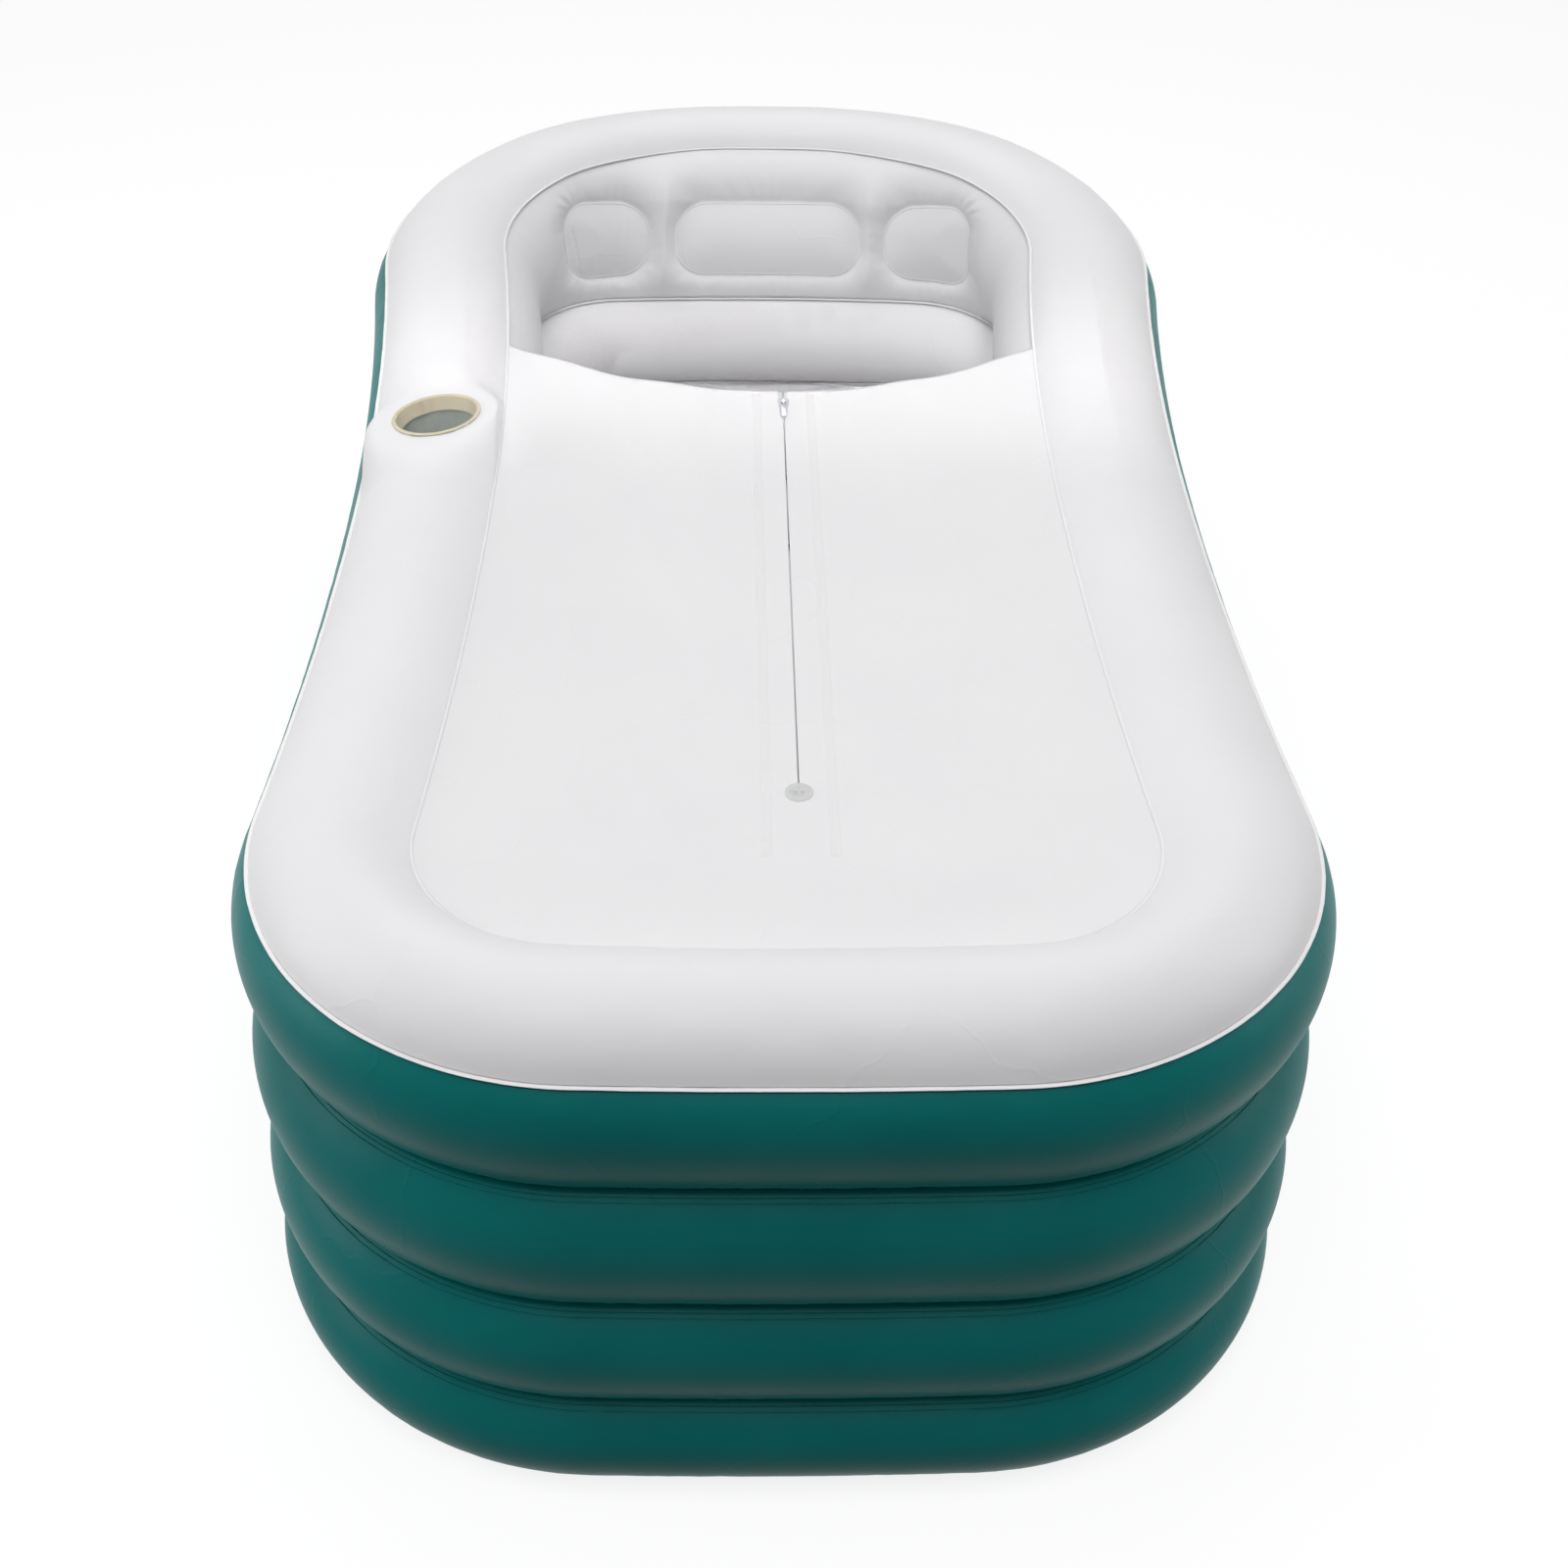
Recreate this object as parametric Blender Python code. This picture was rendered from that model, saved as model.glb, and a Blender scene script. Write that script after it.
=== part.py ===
"""An inflatable bathtub of welded PVC sheets, with a domed rim, a tufted backrest and a zipped cover.

Lengths are metres. Across is x, along is y with the head end at +y, and up is z. The origin is on
the floor, in the middle of the tub's footprint.
"""

import math

import bmesh
import bpy
from mathutils import Matrix, Vector

# Plan of the tub at the fattest line of its rings: a waisted ring of tangent arcs
TUB_LENGTH = 1.600
TUB_WIDTH = 0.850
TUB_WAIST_INSET = 0.0266
TUB_HEAD_CORNER_RADIUS = 0.345
TUB_HEAD_END_RADIUS = 5.900
TUB_FOOT_CORNER_RADIUS = 0.280
TUB_FOOT_END_RADIUS = 5.000

# Heights of the four rings, from the floor up to the piping, and of the rim above the piping
RING_HEIGHTS = (0.098, 0.112, 0.128, 0.114)
RIM_SEAM_RISE = 0.023
RIM_CROWN_SWELL = 0.036

# Sheets and welds
SHEET = 0.0006
GAP = 0.0003
WELD_LIP = 0.0035
WEB_SETBACK = 0.0005
RING_SWELL = 0.0285
PIPING_INSET = 0.0177
PIPING_HALF_WIDTH = 0.0035
PIPING_THICKNESS = 0.0012
MERGE_DISTANCE = 0.00002

# The rim's width at the sides, the head and the foot, and the shape of the opening inside it
RIM_WIDTH_SIDE = 0.1425
RIM_WIDTH_HEAD = 0.110
RIM_WIDTH_FOOT = 0.127
OPENING_WAIST_INSET = 0.025
OPENING_HEAD_CORNER_RADIUS = 0.250
OPENING_FOOT_CORNER_RADIUS = 0.120
OPENING_HEAD_END_RADIUS = 3.000
OPENING_FOOT_END_RADIUS = 2.550

# How far the lower inner wall stands inside the rim seam; at the head this is the backrest's slope
WALL_BATTER_SIDE = 0.0095
WALL_BATTER_HEAD = 0.122
WALL_BATTER_FOOT = 0.018
WALL_CORNER_RADIUS = 0.110
INNER_RING_SWELL = 0.033
BACKREST_SWELL = 0.030

# Welded tufts in the backrest: half sizes, corner radius, and where the middle of each lies
TUFT_HALF_WIDTH = 0.104
TUFT_HALF_HEIGHT = 0.043
TUFT_CORNER_RADIUS = 0.034
SIDE_TUFT_HALF_WIDTH = 0.050
SIDE_TUFT_OFFSET = 0.180
TUFT_FALL = 0.014
TUFT_LEVEL_SHARE = 0.620
TUFT_PULL_SHARE = 0.80
STRAP_WIDTH_SHARE = 0.80
STRAP_END_GAP = 0.0020

# Inflated floor: a crowned skin on the base sheet, with lengthwise channels welded down
FLOOR_HEIGHT = 0.045
FLOOR_MARGIN = 0.052
FLOOR_SPINE_SETBACK = 0.220
FLOOR_CHANNEL_SHARE = 0.62

# Cover, with its free edge at the head and the zip down its middle
COVER_CORNER_ALONG = 0.215
COVER_EDGE_ALONG = 0.140
COVER_SAG = 0.010
COVER_LEVEL_FROM = -0.560
ZIP_ACROSS = 0.010
ZIP_END_ALONG = -0.480
ZIP_SLOT_HALF_WIDTH = 0.0017
ZIP_MOUTH_HALF_WIDTH = 0.0042
ZIP_TAPE_WIDTH = 0.030
ZIP_TAPE_THICKNESS = 0.0005
COIL_INNER_HALF_GAP = 0.0008
COIL_WIDTH = 0.0022
COIL_THICKNESS = 0.0018
END_PATCH_RADIUS = 0.011
END_PATCH_THICKNESS = 0.0008
END_STUD_RADIUS = 0.0060
END_STUD_HEIGHT = 0.0012
WELD_STRIP_WIDTH = 0.008
WELD_STRIP_THICKNESS = 0.0004
WELD_STRIP_OFFSET = 0.026
WELD_STRIP_END_ALONG = -0.556

# Slider and puller
SLIDER_ALONG = 0.116
SLIDER_LENGTH = 0.0150
SLIDER_WIDTH = 0.0120
SLIDER_PLATE = 0.0012
SLIDER_POST_WIDTH = 0.0009
SLIDER_POST_LENGTH = 0.0040
SLIDER_FLANGE = 0.0014
SLIDER_TAPER = 0.0022
BAIL_HEIGHT = 0.0042
BAIL_WIDTH = 0.0016
BAIL_LENGTH = 0.0090
BAIL_THICKNESS = 0.0011
PULLER_LENGTH = 0.0300
PULLER_WIDTH = 0.0080
PULLER_THICKNESS = 0.0012
PULLER_BAR = 0.0016
PULLER_TAPER = 0.0013
PULLER_CLEARANCE = 0.0009

# Cup holder in the left rim, leaning outwards
CUP_ALONG = 0.020
CUP_LEAN_DEGREES = 8.0
CUP_DROP = 0.0065
CUP_RADIUS = 0.0372
COLLAR_WALL = 0.0018
COLLAR_LIP = 0.0040
COLLAR_LIP_THICKNESS = 0.0016
COLLAR_DEPTH = 0.018
CUP_DEPTH = 0.090
CUP_FLOOR_THICKNESS = 0.0010
CUP_FLAT_RADIUS = 0.058
CUP_BLEND_RADIUS = 0.092

# Air valves on the hidden head corner: a welded collar and a screw cap with a stem
VALVE_STATION = 5
VALVE_RINGS = (0, 1, 3)
VALVE_FLANGE_RADIUS = 0.0175
VALVE_FLANGE_THICKNESS = 0.0014
VALVE_NECK_RADIUS = 0.0125
VALVE_BORE_RADIUS = 0.0095
VALVE_NECK_HEIGHT = 0.0060
VALVE_NECK_DEPTH = 0.0120
STEM_CLEARANCE = 0.0006
STEM_END_CLEARANCE = 0.0020
HOLE_CLEARANCE = 0.0006
CAP_RIM = 0.0020
CAP_THICKNESS = 0.0030
CAP_SERRATION = 0.0008
CAP_GRIP_WIDTH = 0.0030
CAP_GRIP_HEIGHT = 0.0030

# Drain through the lowest ring at the right waist
DRAIN_BORE_RADIUS = 0.0115
DRAIN_TUBE_RADIUS = 0.0138
DRAIN_FLANGE_RADIUS = 0.0190
DRAIN_FLANGE_THICKNESS = 0.0014
DRAIN_SEAT_GAP = 0.0007
DRAIN_SPOUT = 0.0040
DRAIN_STEM = 0.0030
DRAIN_CAP_THICKNESS = 0.0026

# Where the stations stand, as shares of a quarter from the end's middle to the waist. The corner
# arc of each outline lies between a pair of shares, so its stations stand evenly round the corner.
CORNER_SHARES = (0.16, 0.53)
TUB_HEAD_CORNER_SHARES = (0.12, 0.53)
TUB_FOOT_CORNER_SHARES = (0.16, 0.5285)
OPENING_HEAD_CORNER_SHARES = (0.04, 0.48)
WALL_HEAD_CORNER_SHARES = (0.17, 0.50)
STATION_SHARES = (0, 0.08, 0.16, 0.213, 0.266, 0.319, 0.371, 0.424, 0.477, 0.53, 0.69, 0.84, 1)
BACKREST_SHARES = (0, 0.055, 0.090, 0.108, 0.124, 0.140, 0.158, 0.190, 0.218, 0.236, 0.256, 0.285,
                   0.320, 0.360, 0.410, 0.465, 0.530, 0.690, 0.840, 1)
BACKREST_FALL_SHARES = (0, 0.14, 0.29, 0.365, 0.43, 0.61, 0.80, 0.865, 0.93, 1)
FLOOR_STATION_SHARES = (0, 0.16, 0.25, 0.34, 0.43, 0.53, 0.76, 1)
FLOOR_COLUMN_SHARES = (0, 0.06, 0.25, 0.42, 0.50, 0.58, 0.75, 0.90, 1)
COVER_COLUMN_SHARES = (0, 0.12, 0.30, 0.52, 0.76, 1)
CUP_HEAD_SHARES = (0.88, 0.90, 0.92, 0.94, 0.96, 0.98)
CUP_FOOT_SHARES = (0.915, 0.937, 0.957, 0.979)

# Counts of steps
RING_STEPS = 5
INNER_RING_STEPS = 3
RIM_STEPS = 6
COVER_ZIP_ROWS = 5
ROUND_STEPS = 16
CUP_STEPS = 32
BISECTIONS = 40

# Colours (red, green, blue), roughness and metallic value of each finish
WHITE_PVC = ((0.84, 0.84, 0.85), 0.42, 0.0)
TEAL_PVC = ((0.004, 0.130, 0.125), 0.38, 0.0)
CLEAR_PVC = ((0.80, 0.83, 0.83), 0.25, 0.0)
GREY_PVC = ((0.30, 0.35, 0.33), 0.45, 0.0)
TAPE_CLOTH = ((0.78, 0.78, 0.78), 0.80, 0.0)
COIL_NYLON = ((0.60, 0.60, 0.60), 0.50, 0.0)
SLIDER_METAL = ((0.70, 0.71, 0.74), 0.30, 1.0)
BEIGE_PLASTIC = ((0.66, 0.60, 0.47), 0.45, 0.0)
VALVE_PLASTIC = ((0.75, 0.77, 0.78), 0.35, 0.0)


class Outline:
    """A waisted ring of tangent arcs about x = 0, whose head and foot halves may differ.

    A station is (side, half, share). Its share runs from 0 at the middle of the end to 1 at the
    waist; each half says between which shares its corner arc lies.
    """

    def __init__(self, half_width, waist_inset, head, foot):
        self.half_width = half_width
        self.waist_inset = waist_inset
        self.halves = [self.half_arcs(*head), self.half_arcs(*foot)]

    def half_arcs(self, reach, corner_radius, end_radius, corner_shares):
        """The end, corner and waist arcs of a quarter: centre, radius, first and last angle and share."""
        corner_radius = min(corner_radius, self.half_width)
        corner_x = self.half_width - corner_radius
        end_y = reach - end_radius
        corner_y = end_y + math.sqrt((end_radius - corner_radius) ** 2 - corner_x ** 2)
        across = corner_radius - self.waist_inset
        waist_radius = (across ** 2 + corner_y ** 2 - corner_radius ** 2) / (2 * self.waist_inset)
        end_angle = math.atan2(corner_x, corner_y - end_y)
        corner_angle = math.pi / 2 + math.atan2(corner_y, waist_radius + across)
        waist_x = self.half_width - self.waist_inset + waist_radius
        start, finish = corner_shares
        return [
            (Vector((0, end_y)), end_radius, 0, end_angle, 0, start),
            (Vector((corner_x, corner_y)), corner_radius, end_angle, corner_angle, start, finish),
            (Vector((waist_x, 0)), -waist_radius, corner_angle - math.pi, -math.pi / 2, finish, 1),
        ]

    def quarter(self, half, share):
        """Point and outward normal in the quarter at +x, both as if the end lay at +y."""
        for centre, radius, first, last, start, finish in self.halves[half]:
            if share <= finish:
                angle = first + (last - first) * (share - start) / (finish - start)
                outward = Vector((math.sin(angle), math.cos(angle)))
                return centre + outward * abs(radius), outward * (1 if radius > 0 else -1)

    def at(self, station, inset=0):
        """The outline's point at a station, moved in by inset along the normal there."""
        point, normal = self.quarter(station[1], station[2])
        placed = point - normal * inset
        return Vector((station[0] * placed.x, placed.y * (1 if station[1] == 0 else -1)))

    def inward(self, station):
        _, normal = self.quarter(station[1], station[2])
        return Vector((-station[0] * normal.x, -normal.y * (1 if station[1] == 0 else -1)))

    def station_at(self, side, along):
        """The station on one side of the tub whose point lies at that place along it."""
        half = 0 if along >= 0 else 1
        low, high = 0, 1
        for _ in range(BISECTIONS):
            middle = (low + high) / 2
            if self.quarter(half, middle)[0].y > abs(along):
                low = middle
            else:
                high = middle
        return (side, half, low)


def stations_round(head_shares, foot_shares, more_head_left=(), more_foot_left=()):
    """Stations clockwise from the head's middle; the left side may have more of them."""
    head_left = sorted({*head_shares, *more_head_left})
    foot_left = sorted({*foot_shares, *more_foot_left})
    ring = [(1, 0, share) for share in head_shares[:-1]]
    ring += [(1, 1, share) for share in reversed(foot_shares[1:])]
    ring += [(-1, 1, share) for share in foot_left[:-1]]
    ring += [(-1, 0, share) for share in reversed(head_left[1:])]
    return ring


def swell_at(share, swell, span):
    """Height over its chord, at a share of the span, of the arc that an inflated strip takes."""
    radius = (span ** 2 / 4 + swell ** 2) / (2 * swell)
    return math.sqrt(radius ** 2 - ((share - 1 / 2) * span) ** 2) - (radius - swell)


def smooth_step(value):
    value = max(0, min(1, value))
    return value * value * (3 - 2 * value)


def levels():
    """Heights of the welds: floor, the three webs and the piping."""
    heights = [0]
    for ring_height in RING_HEIGHTS:
        heights.append(heights[-1] + ring_height)
    return heights


LEVELS = levels()
PIPING_LEVEL = LEVELS[-1]
SEAM_LEVEL = PIPING_LEVEL + RIM_SEAM_RISE
LAYER = SHEET + GAP
PIPING_REACH = PIPING_THICKNESS / 2 + GAP + SHEET / 2
COVER_LEVEL = SEAM_LEVEL - LAYER
OPENING_HALF_WIDTH = TUB_WIDTH / 2 - RIM_WIDTH_SIDE
OPENING_HEAD = TUB_LENGTH / 2 - RIM_WIDTH_HEAD
OPENING_FOOT = TUB_LENGTH / 2 - RIM_WIDTH_FOOT

TUB = Outline(
    TUB_WIDTH / 2, TUB_WAIST_INSET,
    (TUB_LENGTH / 2, TUB_HEAD_CORNER_RADIUS, TUB_HEAD_END_RADIUS, TUB_HEAD_CORNER_SHARES),
    (TUB_LENGTH / 2, TUB_FOOT_CORNER_RADIUS, TUB_FOOT_END_RADIUS, TUB_FOOT_CORNER_SHARES),
)
SEAM = Outline(
    OPENING_HALF_WIDTH, OPENING_WAIST_INSET,
    (OPENING_HEAD, OPENING_HEAD_CORNER_RADIUS, OPENING_HEAD_END_RADIUS, OPENING_HEAD_CORNER_SHARES),
    (OPENING_FOOT, OPENING_FOOT_CORNER_RADIUS, OPENING_FOOT_END_RADIUS, CORNER_SHARES),
)
WALL = Outline(
    OPENING_HALF_WIDTH - WALL_BATTER_SIDE, OPENING_WAIST_INSET,
    (OPENING_HEAD - WALL_BATTER_HEAD, WALL_CORNER_RADIUS, OPENING_FOOT_END_RADIUS, WALL_HEAD_CORNER_SHARES),
    (OPENING_FOOT - WALL_BATTER_FOOT, WALL_CORNER_RADIUS, OPENING_FOOT_END_RADIUS, CORNER_SHARES),
)
STATIONS = stations_round(STATION_SHARES, STATION_SHARES)


def clear_scene():
    for item in list(bpy.data.objects):
        bpy.data.objects.remove(item, do_unlink=True)


def finish_material(name, finish):
    """One material for each piece, with the finish's colour, roughness and metallic value."""
    colour, roughness, metallic = finish
    material = bpy.data.materials.new(name)
    material.use_nodes = True
    shader = material.node_tree.nodes["Principled BSDF"]
    shader.inputs["Base Color"].default_value = (*colour, 1)
    shader.inputs["Roughness"].default_value = roughness
    shader.inputs["Metallic"].default_value = metallic
    material.diffuse_color = (*colour, 1)
    return material


def add_object(name, bm, finish, parent=None):
    mesh = bpy.data.meshes.new(name)
    bm.to_mesh(mesh)
    bm.free()
    mesh.shade_smooth()
    item = bpy.data.objects.new(name, mesh)
    bpy.context.scene.collection.objects.link(item)
    if finish:
        mesh.materials.append(finish_material(name, finish))
    if parent:
        item.parent = parent
    return item


def add_frame(name, matrix):
    """An empty that holds a group of pieces in its own axes."""
    frame = bpy.data.objects.new(name, None)
    bpy.context.scene.collection.objects.link(frame)
    frame.matrix_world = matrix
    return frame


def sheet_grid(rows, closed=False):
    """A sheet through rows of points; points that meet are merged, so fans close."""
    bm = bmesh.new()
    grid = [[bm.verts.new(point) for point in row] for row in rows]
    if closed:
        grid.append(grid[0])
    for row, after in zip(grid, grid[1:]):
        for corners in zip(row, row[1:], after[1:], after):
            bm.faces.new(corners)
    bmesh.ops.remove_doubles(bm, verts=bm.verts, dist=MERGE_DISTANCE)
    bmesh.ops.dissolve_degenerate(bm, edges=bm.edges, dist=MERGE_DISTANCE)
    return bm


def thicken(item, thickness=SHEET):
    """Give a sheet its thickness, half to each side."""
    solid = item.modifiers.new("sheet thickness", "SOLIDIFY")
    solid.thickness = thickness
    solid.offset = 0
    solid.use_even_offset = True


def turned(profile, steps, serration=0, serrated_radius=0):
    """A closed solid turned about z from a closed profile of (radius, height) points.

    Points at or past the serrated radius step in by the serration at every other station.
    """
    bm = bmesh.new()
    rings = []
    for step in range(steps):
        turn = 2 * math.pi * step / steps
        ring = []
        for radius, height in profile:
            if serration and radius >= serrated_radius:
                radius = radius - serration * (step % 2)
            ring.append(bm.verts.new((radius * math.cos(turn), radius * math.sin(turn), height)))
        rings.append(ring)
    for ring, after in zip(rings, rings[1:] + rings[:1]):
        for corners in zip(ring, ring[1:] + ring[:1], after[1:] + after[:1], after):
            bm.faces.new(corners)
    bmesh.ops.remove_doubles(bm, verts=bm.verts, dist=MERGE_DISTANCE)
    bmesh.ops.dissolve_degenerate(bm, edges=bm.edges, dist=MERGE_DISTANCE)
    bmesh.ops.recalc_face_normals(bm, faces=bm.faces)
    return bm


def block(bm, low, high):
    """Add a box between two corners."""
    size = Vector(high) - Vector(low)
    matrix = Matrix.Translation((Vector(low) + Vector(high)) / 2) @ Matrix.Diagonal((*size, 1))
    bmesh.ops.create_cube(bm, size=1, matrix=matrix)


def prism(outline, low, high):
    """A solid between two heights over an outline of (x, y) points, counter-clockwise."""
    bm = bmesh.new()
    bottom = [bm.verts.new((x, y, low)) for x, y in outline]
    top = [bm.verts.new((x, y, high)) for x, y in outline]
    bm.faces.new(reversed(bottom))
    bm.faces.new(top)
    for a, b, c, d in zip(bottom, bottom[1:] + bottom[:1], top[1:] + top[:1], top):
        bm.faces.new((a, b, c, d))
    return bm


def combine(item, tool, operation="DIFFERENCE"):
    """Cut the tool away from a piece, or weld it on, and keep the tool as a guide."""
    change = item.modifiers.new(operation.lower(), "BOOLEAN")
    change.operation = operation
    change.solver = "EXACT"
    change.object = tool
    tool.hide_render = True
    tool.display_type = "WIRE"


def drill(item, frame, radius, low, high, steps=ROUND_STEPS):
    """Cut a round hole along a frame's z axis through a piece."""
    profile = [(0, low), (radius, low), (radius, high), (0, high)]
    combine(item, add_object(item.name + "_drill", turned(profile, steps), None, frame))


def ring_rows(outline, low, high, insets, swell, steps):
    """Rows of points up an inflated strip that runs round the tub; swell is positive outwards."""
    rows = []
    for station in STATIONS:
        row = []
        for step in range(steps + 1):
            share = step / steps
            out = math.copysign(swell_at(share, abs(swell), high - low), swell)
            inset = insets[0] + (insets[1] - insets[0]) * share - out
            row.append((*outline.at(station, inset), low + (high - low) * share))
        rows.append(row)
    return rows


def flat_ring(outer, outer_inset, inner, inner_inset, level):
    """A flat ring between two outlines."""
    return [
        [(*outer.at(station, outer_inset), level), (*inner.at(station, inner_inset), level)]
        for station in STATIONS
    ]


def facet_frame(rows, station, steps):
    """Axes on the middle facet of a ring: origin at its middle, z along its outward normal."""
    low, high = steps // 2, steps // 2 + 1
    corners = [Vector(rows[station + j][i]) for j, i in ((0, low), (1, low), (1, high), (0, high))]
    middle = sum(corners, Vector()) / 4
    normal = (corners[1] - corners[0]).cross(corners[3] - corners[0]).normalized()
    if normal.dot(Vector((middle.x, middle.y, 0))) < 0:
        normal = -normal
    up = Vector((0, 0, 1))
    side = up.cross(normal).normalized()
    up = normal.cross(side)
    turn = Matrix((side, up, normal)).transposed().to_4x4()
    return Matrix.Translation(middle) @ turn


def outer_ring_rows():
    """Each outer strip runs from weld to weld; the top one ends under the piping."""
    rings = []
    for low, high in zip(LEVELS, LEVELS[1:]):
        top = high == PIPING_LEVEL
        end_inset = PIPING_INSET if top else RING_SWELL
        swell = (RING_SWELL + end_inset) / 2
        start = low + SHEET / 2 + LAYER if low == 0 else low + LAYER
        end = high - PIPING_REACH if top else high - LAYER
        rings.append(ring_rows(TUB, start, end, (RING_SWELL, end_inset), swell, RING_STEPS))
    return rings


def inner_ring_rows():
    rings = []
    for low, high in zip(LEVELS[:3], LEVELS[1:4]):
        start = low + SHEET / 2 + LAYER if low == 0 else low + LAYER
        rings.append(ring_rows(WALL, start, high - LAYER, (0, 0), -INNER_RING_SWELL, INNER_RING_STEPS))
    return rings


def tuft_hold(across, height):
    """How strongly the tufts hold the backrest in, from 0 to 1, at a place on its face."""
    hold = 0
    tufts = ((-SIDE_TUFT_OFFSET, SIDE_TUFT_HALF_WIDTH), (0, TUFT_HALF_WIDTH), (SIDE_TUFT_OFFSET, SIDE_TUFT_HALF_WIDTH))
    for middle, half_width in tufts:
        x = abs(across - middle) - half_width + TUFT_CORNER_RADIUS
        y = abs(height) - TUFT_HALF_HEIGHT + TUFT_CORNER_RADIUS
        outside = math.hypot(max(x, 0), max(y, 0)) + min(max(x, y), 0) - TUFT_CORNER_RADIUS
        hold = max(hold, 1 - smooth_step(outside / TUFT_FALL))
    return hold


def upper_wall_point(station, share):
    """A point of the upper inner wall, from the rim seam down to the top web."""
    top = Vector((*SEAM.at(station, -WELD_LIP), SEAM_LEVEL - 2 * LAYER))
    bottom = Vector((*WALL.at(station), LEVELS[3] + LAYER))
    chord = bottom - top
    inward = Vector((*(SEAM.inward(station) + WALL.inward(station)), 0)).normalized()
    along = chord.normalized()
    outwards = (inward - along * inward.dot(along)).normalized()
    flat = top + chord * share
    swell = swell_at(share, BACKREST_SWELL, chord.length)
    if station[1] == 0:
        height = (TUFT_LEVEL_SHARE - share) * chord.length
        swell *= 1 - TUFT_PULL_SHARE * tuft_hold(flat.x, height)
    return flat + outwards * swell


def upper_wall_rows():
    stations = stations_round(BACKREST_SHARES, STATION_SHARES)
    return [[upper_wall_point(station, share) for share in BACKREST_FALL_SHARES] for station in stations]


def cup_centre():
    """Middle of the rim at the cup holder, on the plane that the collar sits on."""
    outer = TUB.at(TUB.station_at(-1, CUP_ALONG), PIPING_INSET)
    inner = SEAM.at(SEAM.station_at(-1, CUP_ALONG))
    chord_level = (PIPING_LEVEL + PIPING_REACH + SEAM_LEVEL) / 2
    return Vector(((outer.x + inner.x) / 2, CUP_ALONG, chord_level + RIM_CROWN_SWELL - CUP_DROP))


CUP_CENTRE = cup_centre()
CUP_SLOPE = math.tan(math.radians(CUP_LEAN_DEGREES))


def rim_point(station, share):
    """A point of the rim's top panel, from the piping over the crown to the inner seam."""
    outer = Vector((*TUB.at(station, PIPING_INSET), PIPING_LEVEL + PIPING_REACH))
    inner = Vector((*SEAM.at(station), SEAM_LEVEL))
    point = outer.lerp(inner, share)
    point.z += swell_at(share, RIM_CROWN_SWELL, (inner - outer).length)
    away = (point.xy - CUP_CENTRE.xy).length
    flat = 1 - smooth_step((away - CUP_FLAT_RADIUS) / (CUP_BLEND_RADIUS - CUP_FLAT_RADIUS))
    if 0 < share < 1:
        plane = CUP_CENTRE.z + (point.x - CUP_CENTRE.x) * CUP_SLOPE
        point.z += (plane - point.z) * flat
    return point


def rim_rows():
    stations = stations_round(STATION_SHARES, STATION_SHARES, CUP_HEAD_SHARES, CUP_FOOT_SHARES)
    return [[rim_point(station, step / RIM_STEPS) for step in range(RIM_STEPS + 1)] for station in stations]


def build_walls(outer, inner):
    """Base sheet, webs, outer and inner rings, upper wall, top panel and piping."""
    base = prism([TUB.at(station, RING_SWELL - WELD_LIP) for station in reversed(STATIONS)], 0, SHEET)
    add_object("base_sheet", base, WHITE_PVC)
    pieces = {}
    for number, rows in enumerate(outer, 1):
        pieces["outer", number] = add_object(f"outer_wall_ring_{number}", sheet_grid(rows, True), TEAL_PVC)
    for number, rows in enumerate(inner, 1):
        pieces["inner", number] = add_object(f"inner_wall_ring_{number}", sheet_grid(rows, True), WHITE_PVC)
    for number, level in enumerate(LEVELS[1:4], 1):
        rows = flat_ring(TUB, RING_SWELL + WEB_SETBACK, WALL, WELD_LIP, level)
        pieces["web", number] = add_object(f"ring_web_{number}", sheet_grid(rows, True), WHITE_PVC)
    pieces["upper"] = add_object("upper_inner_wall", sheet_grid(upper_wall_rows(), True), WHITE_PVC)
    pieces["rim"] = add_object("rim_top_panel", sheet_grid(rim_rows(), True), WHITE_PVC)
    for item in pieces.values():
        thicken(item)
    rows = flat_ring(TUB, PIPING_INSET - PIPING_HALF_WIDTH, TUB, PIPING_INSET + PIPING_HALF_WIDTH, PIPING_LEVEL)
    thicken(add_object("rim_piping", sheet_grid(rows, True), WHITE_PVC), PIPING_THICKNESS)
    return pieces


def build_backrest_straps():
    """Straps from the back of each tuft to the top outer ring, level with the tuft's middle."""
    names = {-1: "left", 0: "middle", 1: "right"}
    level = upper_wall_point((1, 0, 0), TUFT_LEVEL_SHARE).z - SHEET
    for side, name in names.items():
        half_width = STRAP_WIDTH_SHARE * (SIDE_TUFT_HALF_WIDTH if side else TUFT_HALF_WIDTH)
        middle = side * SIDE_TUFT_OFFSET
        rows = []
        for edge in (-1, -1 / 2, 0, 1 / 2, 1):
            x = middle + edge * half_width
            rows.append([(x, strap_front(x, level), level), (x, strap_back(x), level)])
        thicken(add_object(f"backrest_strap_{name}", sheet_grid(rows), WHITE_PVC))


def strap_front(x, level):
    """Where a strap meets the back of the upper wall, at a place across and a level."""
    side = 1 if x >= 0 else -1
    reach = 0
    for share in BACKREST_SHARES[:-1]:
        for fall, next_fall in zip(BACKREST_FALL_SHARES, BACKREST_FALL_SHARES[1:]):
            near = upper_wall_point((side, 0, share), fall)
            below = upper_wall_point((side, 0, share), next_fall)
            if below.z <= level <= near.z and abs(near.x - x) < TUFT_FALL:
                slope = (near.z - level) / (near.z - below.z)
                reach = max(reach, near.y + (below.y - near.y) * slope)
    return reach + 2 * LAYER


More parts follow.
